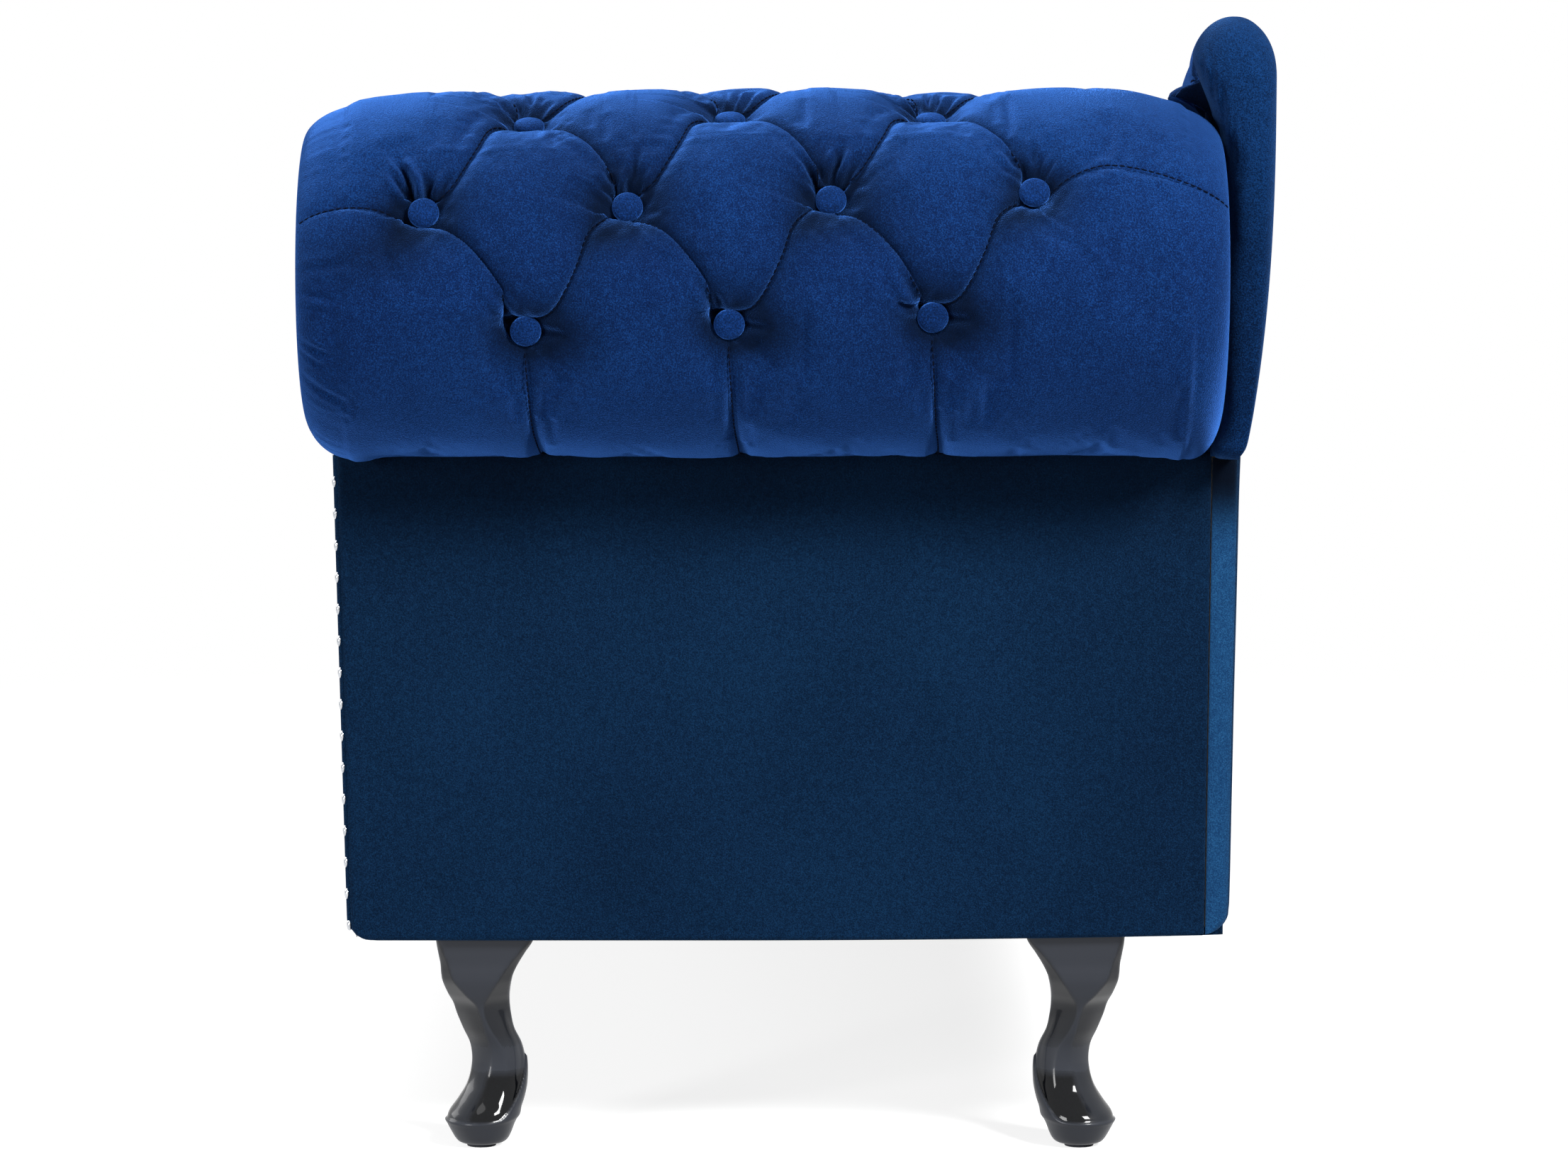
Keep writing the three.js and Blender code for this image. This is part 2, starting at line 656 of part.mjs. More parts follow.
function armPadSolid(layout) {
  const { ys, ss } = armStations();
  const inner = new THREE.Vector3(rollX, 0, zSoftBottom);
  const depths = [];
  const rings = ys.map((y) => {
    const row = ss.map((s) => armPlace(layout, y, s).place);
    depths.push([...ss.map((s) => tuftDepth(layout, y, s)), 0]);
    return [...row, inner.clone().setY(y)];
  });
  const margin = cutOverrun;
  const core = scrollOutline(around(coreRadius), xPanel + gap, zSoftBottom - cutOverrun);
  const coreSolid = solidOf(alongY(core, yFront - margin, yArmRear + margin, arcSegments));
  const below = box(xPanelInner, rollX + coreRadius, yFront - margin, yArmRear + margin,
    zSoftBottom - cutOverrun, rollZ - rollRadius);
  const boardRoom = box(xArmFace - margin, xPanel + gap, yBackBoard - armRearMargin, yArmRear + margin,
    zSoftBottom - cutOverrun, armHeight + margin);
  return [coreSolid, solidOf(below), solidOf(boardRoom)].reduce((pad, room) => {
    return largestBody(pad.subtract(room));
  }, solidOf(loft(rings, depths)));
}

function addArm() {
  const boardRadius = coreRadius - gap - curvedBoardThickness - gap;
  const board = scrollOutline(boardRadius, xHeadFrame, zFrame);
  add("arm_scroll_board_front", "plywood", alongY(board, yFrontFrame, yFrontFrame + boardThickness, arcSegments));
  add("arm_scroll_board_rear", "plywood", alongY(board, yRearFrame - boardThickness, yRearFrame, arcSegments));
  const y0 = yFrontFrame + boardThickness + gap;
  const y1 = yRearFrame - boardThickness - gap;
  const seat = Math.sqrt((boardRadius - gap) ** 2 - (slatWidth / 2) ** 2);
  add("arm_slat_top", "timber",
    box(rollX - slatWidth / 2, rollX + slatWidth / 2, y0, y1, rollZ + seat - slatThickness, rollZ + seat));
  add("arm_slat_outer", "timber",
    box(rollX + seat - slatThickness, rollX + seat, y0, y1, rollZ - slatWidth / 2, rollZ + slatWidth / 2));
  const zTack = rollZ - rollRadius;
  add("arm_tack_rail", "timber",
    box(xHeadFrame - railThickness, xHeadFrame, y0, y1, zTack - tackRailHeight, zTack));
  add("arm_curved_board", "plywood", curvedBoardGeometry());
  const layout = armLayout();
  const shown = layout.buttons.slice(0, armShownButtons);
  const fused = layout.buttons.filter((button) => !shown.includes(button));
  let pad = withButtons(armPadSolid(layout), fused.map(([u, v]) => armPlace(layout, u, v)));
  shown.forEach(([u, v], i) => {
    const { place, normal } = armPlace(layout, u, v);
    pad = pad.subtract(solidOf(buttonGeometry(place.clone().addScaledVector(normal, -buttonSink), normal, shownSides, gap)));
    const seatPoint = place.clone().addScaledVector(normal, -buttonSink);
    add(`arm_button_${i + 1}`, "velvet", geometryOf(solidOf(buttonGeometry(seatPoint, normal, shownSides))));
  });
  add("arm_pad", "velvet", drawnBack(geometryOf(largestBody(pad))));
  add("arm_front_facing", "velvet", facingGeometry());
  add("arm_rear_facing", "velvet", rearFacingGeometry());
}

// Thin board bent round the scroll and down the inside of the arm, which the pad lies on.
function curvedBoardGeometry() {
  const outerRadius = coreRadius - gap;
  const innerRadius = around(outerRadius - curvedBoardThickness);
  const start = THREE.MathUtils.degToRad(padWrapAngle + 1);
  const bottom = zSoftBottom;
  const shape = new THREE.Shape();
  shape.absarc(rollX, rollZ, outerRadius, start, Math.PI, false);
  shape.lineTo(rollX - outerRadius, bottom);
  shape.lineTo(rollX - innerRadius, bottom);
  shape.lineTo(rollX - innerRadius, rollZ);
  shape.absarc(rollX, rollZ, innerRadius, Math.PI, start, true);
  shape.closePath();
  return alongY(shape, yFrontFrame, yRearFrame, arcSegments);
}

// The scroll facing with its row of domed nails, which are fused with it here. It leans with the front border.
function facingGeometry() {
  const radius = coreRadius - gap;
  const outline = scrollOutline(radius, xPanel, zPanel);
  const inset = scrollOutline(radius - nailInset, xPanel - nailInset, zPanel + nailInset);
  const facing = solidOf(alongY(outline, yFacing, yFrontFrame - gap, arcSegments));
  const length = inset.getLength();
  const count = Math.round(length / nailPitch);
  const profile = [
    new THREE.Vector2(0, -nailSeat),
    new THREE.Vector2(nailRadius, -nailSeat),
    new THREE.Vector2(0, nailRise),
  ];
  const solids = inset.getSpacedPoints(count).slice(0, count).map((p) => {
    const nail = new THREE.LatheGeometry(profile, 6).rotateX(Math.PI);
    return solidOf(nail.translate(p.x, yFacing, p.y));
  });
  const nailed = solids.reduce((sum, nail) => sum.add(nail), facing);
  return leaned(geometryOf(nailed), yFrontFrame - gap, frontLean);
}

// Back

// Height of the padded crest over a given X.
// The part of the roll's rear end that stands past the outside panel.
function rearFacingGeometry() {
  const radius = coreRadius - gap;
  const x = xPanel + gap - rollX;
  const angle = Math.acos(x / radius);
  const shape = new THREE.Shape();
  shape.moveTo(rollX + x, rollZ - radius * Math.sin(angle));
  shape.absarc(rollX, rollZ, radius, -angle, angle, false);
  shape.closePath();
  return alongY(shape, yRearFrame + gap, yArmRear - gap, arcSegments);
}

function crestTop(x) {
  const t = THREE.MathUtils.smoothstep(x, sweepFootX, sweepHeadX);
  const sweep = crestLow + (couchHeight - crestLow) * t;
  const into = THREE.MathUtils.clamp((xBackFoot + footRoundLength - x) / footRoundLength, 0, 1);
  const head = THREE.MathUtils.clamp((x - xBackHead + backHeadRound) / backHeadRound, 0, 1);
  const end = crestFootHeight + (sweep - crestFootHeight) * Math.sqrt(1 - into ** 2);
  return end - backHeadRound * (1 - Math.sqrt(1 - head ** 2));
}

// Lower edge of the roll on the rear side.
function backFold(x) {
  const drop = crestTop(Math.min(x, xPanel)) - backFoldDrop;
  return THREE.MathUtils.clamp(drop, zSoftBottom, zBackFold);
}

// Front and rear of the back pad's section at x, for a share h of the height between its lower edge and its dome.
function backFrontY(h) {
  return yBackBoard - seatLevelPad + (seatLevelPad - crestFrontPad) * h ** frontSwellPower;
}

const rearBulgePower = 2.7;
const frontSwellPower = 2.2;

// Where the back's sections stand, from its foot end to the outside panel of the arm.
function backStations() {
  const step = tuftPitch / 4;
  const xRound = xBackFoot + footRoundLength / 3;
  return [
    ...spread(xBackFoot, xRound, step / 2),
    ...spread(xRound, backLastTuftX, step).slice(1),
    ...spread(backLastTuftX, xPanel, step).slice(1),
  ];
}

function backSection(layout, x) {
  const top = crestTop(x);
  const fold = backFold(x);
  const bottom = zSoftBottom;
  const rise = Math.min(domeRise, (top - bottom) / 2);
  const shoulder = top - rise;
  const bulge = (backRearBulge - backTuck) * Math.min(1, (top - fold) / (2 * backFoldDrop));
  const inward = (Math.max(0, x - xPanel) / backHeadReach) ** 2;
  const yMiddle = (yBackBoard + yBackBoardRear) / 2;
  const ring = [];
  const depths = [];
  const push = (y, z, v, side) => {
    const depth = tuftDepth(layout, x, v) * side;
    const edge = yMiddle + (y - yMiddle) * (1 - inward * backHeadTaper);
    ring.push(new THREE.Vector3(x, edge + (y < yMiddle ? depth : -depth * rearSeamShare), z));
    depths.push(depth);
  };
  frontShares.forEach((h) => {
    const z = bottom + (shoulder - bottom) * h;
    push(backFrontY(h), z, top - z, 1);
  });
  const yFrontTop = backFrontY(1);
  const yRearTop = yRearPanel + backTuck + bulge;
  domeAngles.forEach((angle) => {
    const c = Math.cos(angle);
    const y = (yFrontTop + yRearTop) / 2 - ((yRearTop - yFrontTop) / 2) * c;
    push(y, shoulder + rise * Math.sin(angle), rise * (1 - Math.sin(angle)), domeSeamShare);
  });
  rearShares.forEach((h) => {
    const z = fold + (shoulder - fold) * h;
    push(yRearPanel + backTuck + bulge * (1 - (1 - h) ** rearBulgePower), z, 0, domeSeamShare);
  });
  ring.push(new THREE.Vector3(x, yMiddle, fold));
  ring.push(new THREE.Vector3(x, yMiddle, bottom));
  depths.push(0, 0);
  return { ring, depths };
}

const backHeadTaper = 0.3; // how much the roll thins at its arm end, as a share
const rearSeamShare = 0.6; // depth of the seams on the rear side, as a share of those in front
const domeSeamShare = 0.5;
const frontShares = [0, 0.12, 0.24, 0.36, 0.48, 0.6, 0.72, 0.84, 1];
const domeAngles = [0.3, 0.9, 1.57, 2.25, 2.85];
const rearShares = [1, 0.7, 0.4, 0.15, 0];

function backLayout() {
  const rows = Array.from({ length: backRowCount }, (_, i) => {
    const v = backFirstRow + i * backRowPitch;
    const first = backLastTuftX - (i % 2) * (tuftPitch / 2);
    const us = Array.from({ length: backRowButtons }, (_, k) => first - k * tuftPitch)
      .filter((x) => crestTop(x) - v > seatHeight + backButtonSeatGap)
      .reverse();
    return { v, us, long: false };
  });
  return diamonds(rows, tuftPitch, { u0: xBackFoot, u1: xArmFace, v0: 0, v1: couchHeight - zSeatPad });
}

function backPlace(layout, x, v) {
  const top = crestTop(x);
  const shoulder = top - domeRise;
  const h = (top - v - zSoftBottom) / (shoulder - zSoftBottom);
  const y = backFrontY(h) + tuftDepth(layout, x, v);
  const lean = Math.atan2(seatLevelPad - crestFrontPad, shoulder - zSoftBottom);
  return {
    place: new THREE.Vector3(x, y, top - v),
    normal: new THREE.Vector3(0, -Math.cos(lean), Math.sin(lean)),
  };
}

// Everything that the arm takes up in front of the back board, cut out of the back's pad.
// The room of the arm inside the back: the untufted arm pad grown by the gap, with its rounded rear end.
function armEnvelope() {
  const untufted = { buttons: [], seams: [] };
  const { ys, ss } = armStations();
  const stations = [...ss.slice(0, -1), ss[ss.length - 1] + cutOverrun];
  const stem = [zSoftBottom - cutOverrun, zLeanTop - softGap].map((z) => new THREE.Vector3(rollX, 0, z));
  const rings = [...ys.map((y) => [y, y]), [yArmRear, yArmRear + softGap]].map(([y, yRing]) => {
    const row = stations.map((s) => {
      const { place, normal } = armPlace(untufted, y, s);
      return place.addScaledVector(normal, softGap).setY(yRing);
    });
    return [...row, ...stem.map((p) => p.clone().setY(yRing))];
  });
  const room = solidOf(loft(rings));
  const beside = box(xArmFace - cutOverrun, xPanel, yFront - cutOverrun, yBackBoard - gap / 2,
    zSoftBottom - cutOverrun * 2, couchHeight);
  const past = box(xPanel, xArmOuter + cutOverrun, yFront - cutOverrun, yRear, zPanel, couchHeight);
  const rails = box(xHeadFrame - railThickness - gap, xPanel, yFront - cutOverrun, yBackBoard - gap / 2,
    zSoftBottom - cutOverrun, zBackFold + softGap * 2);
  return room.intersect(solidOf(beside)).add(room.intersect(solidOf(past))).add(solidOf(rails));
}

// The plywood board that carries the back: its top follows the crest, and windows lighten it.
function backBoardShape(grow) {
  const tops = spread(xFootFrame, xHeadFrame, couchLength / 36).map((x) => {
    return new THREE.Vector2(x, Math.max(zSeatPad - softGap - gap, crestTop(x) - crestPad) + grow);
  });
  const [foot, head] = [tops[0], tops[tops.length - 1]];
  foot.x -= grow;
  head.x += grow;
  const ends = [new THREE.Vector2(foot.x, zFrame - grow), new THREE.Vector2(head.x, zFrame - grow)];
  return outlineOf([...ends, ...tops.reverse()]);
}

function addBack() {
  let board = solidOf(alongY(backBoardShape(0), yBackBoard, yBackBoardRear));
  const x0 = xFootFrame + backWindowMargin * 2;
  const width = (xArmBoard - x0 - backWindowSpacing * (backWindowCount - 1)) / backWindowCount;
  for (let i = 0; i < backWindowCount; i += 1) {
    const left = x0 + i * (width + backWindowSpacing);
    const right = left + width;
    const bottom = zSoftBottom + backWindowMargin / 2;
    const tops = [left, right].map((x) => crestTop(x) - crestPad - backWindowMargin);
    const corners = [[left, bottom], [left, tops[0]], [right, tops[1]], [right, bottom]];
    const hole = outlineOf(corners.map(([x, z]) => new THREE.Vector2(x, z)));
    board = board.subtract(solidOf(alongY(hole, yBackBoard - cutOverrun, yBackBoardRear + cutOverrun)));
  }
  add("back_board", "plywood", geometryOf(board));
  const layout = backLayout();
  const past = endRoundShares.map((share) => xBackHead - backHeadReach * share).reverse();
  const sections = [...backStations(), ...past].map((x) => backSection(layout, x));
  const outer = solidOf(loft(sections.map((s) => s.ring), sections.map((s) => s.depths)));
  const boardRoom = solidOf(
    alongY(backBoardShape(softGap), yBackBoard - hessianThickness - 2 * gap, yRearPanel + gap / 2),
  );
  const pastPanel = solidOf(
    box(xPanelInner - gap, xArmOuter, yFront, yRear + cutOverrun, zPanel, zBackFold),
  );
  const pad = outer.subtract(armEnvelope()).subtract(boardRoom).subtract(pastPanel);
  const places = layout.buttons.map(([x, v]) => backPlace(layout, x, v));
  add("back_pad", "velvet", geometryOf(largestBody(withButtons(largestBody(pad), places))));
  addBackCovers();
}

// Hessian over the board's windows, and the plain cover on the rear side, which wraps round the board's arm end.
function addBackCovers() {
  const margin = backWindowMargin / 3;
  const xs = spread(xBackFoot + footRoundLength / 2, xArmFace - softGap, couchLength / 24);
  const hessian = outlineOf([
    new THREE.Vector2(xs[0], zSoftBottom),
    new THREE.Vector2(xs[xs.length - 1], zSoftBottom),
    ...xs.map((x) => new THREE.Vector2(x, crestTop(x) - crestPad - margin)).reverse(),
  ]);
  add("back_hessian", "hessian", alongY(hessian, yBackBoard - gap - hessianThickness, yBackBoard - gap));
  const rear = outlineOf([
    new THREE.Vector2(xFootPanel, zPanel),
    new THREE.Vector2(xPanel, zPanel),
    ...backStations().map((x) => new THREE.Vector2(x, backFold(x) - softGap)).reverse(),
    new THREE.Vector2(xFootPanel, backFold(xBackFoot) - softGap),
  ]);
  const sheet = solidOf(alongY(rear, yBackBoardRear + gap, yRearPanel));
  const wrap = box(xPanelInner, xPanel, yEndSeam, yRearPanel, zPanel, zBackFold - softGap);
  const strip = leaned(wrap, yRearFrame - gap, endPanelLean);
  const cover = leaned(geometryOf(sheet.add(solidOf(strip))), yBackBoardRear + softGap, rearLean);
  add("back_outside_panel", "velvet", cover);
}

// Seat pad

function seatLayout() {
  const xMiddle = (xFootEnd + xArmFace) / 2;
  const yMiddle = (yFacing - seatFrontOverhang + backFrontY(0)) / 2;
  const vs = centredRow(yMiddle, seatRowPitch, seatRowCount);
  const rows = vs.map((v, i) => {
    const long = i % 2 === 0;
    return { v, long, us: centredRow(xMiddle, seatTuftPitch, long ? seatLongRowButtons : seatLongRowButtons - 1) };
  });
  const edge = { u0: xFootEnd, u1: xArmFace, v0: yFacing - seatFrontOverhang, v1: backFrontY(0) };
  return diamonds(rows, seatTuftPitch, edge);
}

const seatArmRound = 14; // rounding of the seat pad where it meets the arm
const sideDrawShare = 0.5; // height at which the side of the seat pad is fullest

function seatPadSolid(layout) {
  const [yA, yB] = [yFacing - seatFrontOverhang, backFrontY(0) - softGap];
  const xB = xArmFace - softGap;
  const columns = [
    ...endRoundShares.map((share) => xFootEnd + seatEdgeRound * share),
    ...spread(xFootEnd + seatEdgeRound, xB - seatArmRound, seatTuftPitch / 4),
    ...endRoundShares.map((share) => xB - seatArmRound * share).reverse(),
  ];
  const vs = layout.buttons.map(([, v]) => v);
  const rows = [
    ...spread(yA + seatEdgeRound, Math.min(...vs), seatRowPitch / 2),
    ...spread(Math.min(...vs), Math.max(...vs), seatRowPitch / 2).slice(1),
    ...spread(Math.max(...vs), yB - seatArmRound, seatRowPitch / 2).slice(1),
  ];
  const depths = [];
  const rings = columns.map((x) => {
    const foot = THREE.MathUtils.clamp((xFootEnd + seatEdgeRound - x) / seatEdgeRound, 0, 1);
    const arm = THREE.MathUtils.clamp((x - xB + seatArmRound) / seatArmRound, 0, 1);
    const fall = seatEdgeRound * (1 - Math.sqrt(1 - foot ** 2)) + seatArmRound * (1 - Math.sqrt(1 - arm ** 2));
    const lift = seatUnderDraw * foot ** 2;
    const ring = rows.map((y) => new THREE.Vector3(x, y, seatHeight - fall - tuftDepth(layout, x, y)));
    const depth = rows.map((y) => tuftDepth(layout, x, y));
    const zSide = zSeatPad + (seatHeight - zSeatPad) * sideDrawShare;
    ring.push(new THREE.Vector3(x, yB, Math.min(seatHeight - seatArmRound - fall / 2, seatHeight - fall)));
    ring.push(new THREE.Vector3(x, yB, zSeatPad + lift));
    ring.push(new THREE.Vector3(x, yA + seatUnderDraw, zSeatPad + lift));
    ring.push(new THREE.Vector3(x, yA, zSide));
    ring.push(new THREE.Vector3(x, yA + seatEdgeRound / 3, seatHeight - seatEdgeRound / 2 - fall / 2));
    depth.push(0, 0, 0, 0, 0);
    depths.push(depth);
    return ring;
  });
  return solidOf(loft(rings, depths));
}

function addSeat() {
  const layout = seatLayout();
  const up = new THREE.Vector3(0, 0, 1);
  const places = layout.buttons.map(([x, y]) => ({
    place: new THREE.Vector3(x, y, seatHeight - tuftDepth(layout, x, y)),
    normal: up,
  }));
  add("seat_pad", "velvet", geometryOf(largestBody(withButtons(seatPadSolid(layout), places))));
}

addLegs();
addFrame();
addSeatSupport();
addBorders();
addArm();
addBack();
addSeat();

export default couch;
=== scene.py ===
"""Fainting couch with one deep-buttoned scroll arm, in dark blue velvet on black cabriole legs.

Lengths below are millimetres; every mesh is made in metres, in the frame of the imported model: +X runs to the
arm end, +Y to the back, +Z up, with the origin on the floor under the middle of the couch.
"""

import json
import math

import bmesh
import bpy
import numpy as np
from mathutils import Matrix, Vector


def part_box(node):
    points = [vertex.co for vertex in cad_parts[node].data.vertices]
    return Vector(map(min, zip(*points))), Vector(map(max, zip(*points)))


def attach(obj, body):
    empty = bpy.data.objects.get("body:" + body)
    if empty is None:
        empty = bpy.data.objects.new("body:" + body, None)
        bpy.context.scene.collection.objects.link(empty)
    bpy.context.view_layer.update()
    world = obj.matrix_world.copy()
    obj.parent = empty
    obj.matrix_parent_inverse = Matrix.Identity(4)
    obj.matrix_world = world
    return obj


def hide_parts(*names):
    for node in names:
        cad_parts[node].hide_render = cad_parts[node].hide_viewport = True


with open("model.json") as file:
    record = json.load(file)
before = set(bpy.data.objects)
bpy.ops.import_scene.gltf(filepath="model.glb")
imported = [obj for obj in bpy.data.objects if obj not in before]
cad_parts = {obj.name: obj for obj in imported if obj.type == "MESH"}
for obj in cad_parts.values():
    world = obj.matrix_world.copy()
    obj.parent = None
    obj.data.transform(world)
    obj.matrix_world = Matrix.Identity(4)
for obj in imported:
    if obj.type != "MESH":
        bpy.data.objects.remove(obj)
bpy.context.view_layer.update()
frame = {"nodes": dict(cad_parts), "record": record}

MM = 0.001
BODY = "root"

# Camera

camera_data = bpy.data.cameras.new("camera")
camera_data.sensor_width = 36.0
camera_data.lens = 127.04
camera_data.clip_end = 60.0
camera = bpy.data.objects.new("camera", camera_data)
camera.location = (4.794, -0.0047, 0.838)
camera.rotation_euler = (math.radians(90.0 - 5.73), 0.0, math.radians(90.0))
bpy.context.scene.collection.objects.link(camera)
bpy.context.scene.camera = camera

# Sizes

# The roll of the arm: its middle and radius, its pad's thickness, and the radius of the boards under the pad.
ROLL_X, ROLL_Z, ROLL_RADIUS = 712.0, 660.0, 138.0
PAD_THICKNESS, CORE_RADIUS = 36.0, 102.0
ARC_LENGTH = ROLL_RADIUS * math.radians(270.0)
# Depths: both ends of the roll, the front facing, the outside back, the frame's front, the back board's two
# sides, and the seam where the arm's outside panel meets the outside back.
Y_FRONT, Y_ARM_REAR, Y_FACING, Y_REAR_PANEL = -356.0, 316.0, -338.0, 332.0
Y_FRAME_FRONT, Y_BOARD_FRONT, Y_BOARD_REAR, Y_END_SEAM = -323.7, 306.2, 323.2, 313.0
# Lengths: the arm's outside panel and the frame under it, the foot end of the seat and its panel, and both
# ends of the back.
X_PANEL, X_PANEL_INNER = 705.0, 700.0
X_FOOT, X_FOOT_PANEL, X_BACK_FOOT, X_BACK_HEAD = -850.0, -840.0, -838.0, 753.0
# Heights: the panels' lower edge, the seat pad's underside and top, the fold under the back's padding, where
# the panels begin to lean inwards, and the crest.
Z_PANEL, Z_SEAT_PAD, Z_SEAT, Z_FOLD, Z_LEAN_TOP, Z_TOP = 165.0, 373.0, 440.0, 526.0, 522.0, 850.0
FRONT_LEAN, REAR_LEAN, END_LEAN = 8.0, 6.0, 3.0
# Middles of the legs, from the foot end and from the front.
LEG_X, LEG_Y = (-797.0, 662.0), (-230.0, 215.0)


# Meshes


def grid_of(a, b):
    """Both coordinates of every point of the grid that two rows of stations span."""
    return np.meshgrid(a, b, indexing="ij")


def grid_faces(rows, columns, start=0, wrap=False):
    """Quads of a grid of rows x columns points; wrap joins the last column to the first."""
    i, j = grid_of(np.arange(rows - 1), np.arange(columns if wrap else columns - 1))
    k = (j + 1) % columns
    quads = [i * columns + j, (i + 1) * columns + j, (i + 1) * columns + k, i * columns + k]
    return (np.stack(quads, axis=-1).reshape(-1, 4) + start).tolist()


def stacked(*coordinates):
    """Points from arrays or single values of their coordinates."""
    return np.stack(np.broadcast_arrays(*coordinates), axis=-1)


def outward(mesh):
    """Turns the faces of a closed mesh so that they all point out of it."""
    body = bmesh.new()
    body.from_mesh(mesh)
    bmesh.ops.recalc_face_normals(body, faces=body.faces)
    if body.calc_volume(signed=True) < 0:
        bmesh.ops.reverse_faces(body, faces=body.faces)
    body.to_mesh(mesh)
    body.free()


def declare(piece, nodes=()):
    """Hangs a piece on the body it rides on and hides the nodes it stands for."""
    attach(piece, BODY)
    if nodes:
        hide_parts(*nodes)
    return piece


def make_piece(name, points, faces, material, slot="velvet", nodes=(), fill=None):
    """A smooth mesh object at the origin, from points in millimetres."""
    mesh = bpy.data.meshes.new(name)
    mesh.from_pydata((np.asarray(points, float) * MM).tolist(), [], faces)
    mesh.update()
    outward(mesh)
    mesh.polygons.foreach_set("use_smooth", [True] * len(mesh.polygons))
    mesh.materials.append(material)
    piece = bpy.data.objects.new(name, mesh)
    bpy.context.scene.collection.objects.link(piece)
    return declare(piece, nodes)


def mark(piece, label, share):
    """Writes shares from 0 to 1 on the first points of a piece, whose order is that of the fine grid."""
    values = np.zeros(len(piece.data.vertices))
    values[: share.size] = np.clip(share, 0, 1).ravel()
    piece.data.attributes.new(label, "FLOAT", "POINT").data.foreach_set("value", values)


def second_material(piece, material, x):
    """Gives the faces of a piece past x another material."""
    piece.data.materials.append(material)
    for face in piece.data.polygons:
        if face.center.x > x * MM:
            face.material_index = 1


def coarse(count, step):
    """Every step-th index of count, with the last one."""
    picked = list(range(0, count - 1, step))
    if count - 1 - picked[-1] < step // 2 and len(picked) > 1:
        picked.pop()
    return picked + [count - 1]


def closed_shell(outer, inner, step=14):
    """Points and faces of a closed body: a fine outer grid, a coarse inner one and a rim that joins them.
    inner is a grid of the same shape, of which every step-th point is used."""
    rows, columns = outer.shape[:2]
    ri, ci = coarse(rows, step), coarse(columns, step)
    last_row, last_column = len(ri) - 1, len(ci) - 1
    start = rows * columns
    points = np.concatenate([outer.reshape(-1, 3), inner[np.ix_(ri, ci)].reshape(-1, 3)])
    faces = grid_faces(rows, columns)
    faces += [face[::-1] for face in grid_faces(len(ri), len(ci), start)]
    at = lambda i, j: i * columns + j
    inner_at = lambda a, b: start + a * len(ci) + b
    for a in range(last_row):
        span = range(ri[a], ri[a + 1] + 1)
        faces.append([at(i, 0) for i in span] + [inner_at(a + 1, 0), inner_at(a, 0)])
        far_side = [inner_at(a, last_column), inner_at(a + 1, last_column)]
        faces.append([at(i, columns - 1) for i in reversed(span)] + far_side)
    for b in range(last_column):
        span = range(ci[b], ci[b + 1] + 1)
        faces.append([at(0, j) for j in reversed(span)] + [inner_at(0, b), inner_at(0, b + 1)])
        far_side = [inner_at(last_row, b + 1), inner_at(last_row, b)]
        faces.append([at(rows - 1, j) for j in span] + far_side)
    return points, faces


def closed_rings(rings):
    """Points and faces of a body through rings of points, closed at both ends."""
    count = len(rings[0])
    last = (len(rings) - 1) * count
    faces = grid_faces(len(rings), count, wrap=True)
    return np.concatenate(rings), faces + [list(range(count))[::-1], list(range(last, last + count))]


def smoothstep(x, low, high):
    t = np.clip((x - low) / (high - low), 0.0, 1.0)
    return t * t * (3 - 2 * t)


def quarter_round(t):
    """Fall of a quarter circle of radius 1: none at t = 0, all of it at t = 1."""
    return 1 - np.sqrt(1 - np.clip(t, 0, 1) ** 2)


def between(low, high, step):
    return np.linspace(low, high, int(round((high - low) / step)) + 1)


def curve_through(points, step=4.0):
    """Points about step apart on a smooth line through the given ones."""
    p = np.asarray(points, float)
    p = np.vstack([2 * p[0] - p[1], p, 2 * p[-1] - p[-2]])
    out = []
    for a, b, c, d in zip(p[:-3], p[1:-2], p[2:-1], p[3:]):
        count = max(1, int(round(np.linalg.norm(c - b) / step)))
        for t in np.arange(count) / count:
            square, cube = 2 * a - 5 * b + 4 * c - d, 3 * b - a - 3 * c + d
            out.append(0.5 * (2 * b + (c - a) * t + square * t**2 + cube * t**3))
    out.append(p[-2])
    return np.array(out)


def value_noise(u, v, size, seed):
    """Smooth noise from -1 to 1 over a plane, with lumps about size millimetres wide."""
    table = np.random.default_rng(seed).uniform(-1, 1, (64, 64))
    x, y = np.asarray(u) / size, np.asarray(v) / size
    i, j = np.floor(x).astype(int), np.floor(y).astype(int)
    fx, fy = x - i, y - j
    fx, fy = fx * fx * (3 - 2 * fx), fy * fy * (3 - 2 * fy)
    pick = lambda a, b: table[(i + a) % 64, (j + b) % 64]
    low = pick(0, 0) * (1 - fx) + pick(1, 0) * fx
    high = pick(0, 1) * (1 - fx) + pick(1, 1) * fx
    return low * (1 - fy) + high * fy


# Tufting
# A cover is laid out flat: u runs along the rows and v across them. Every seam is a line of points whose
# right-hand side, seen along it, laps over the left-hand one.

SEAM_DEPTH, DIMPLE_RADIUS = 14.0, 20.0


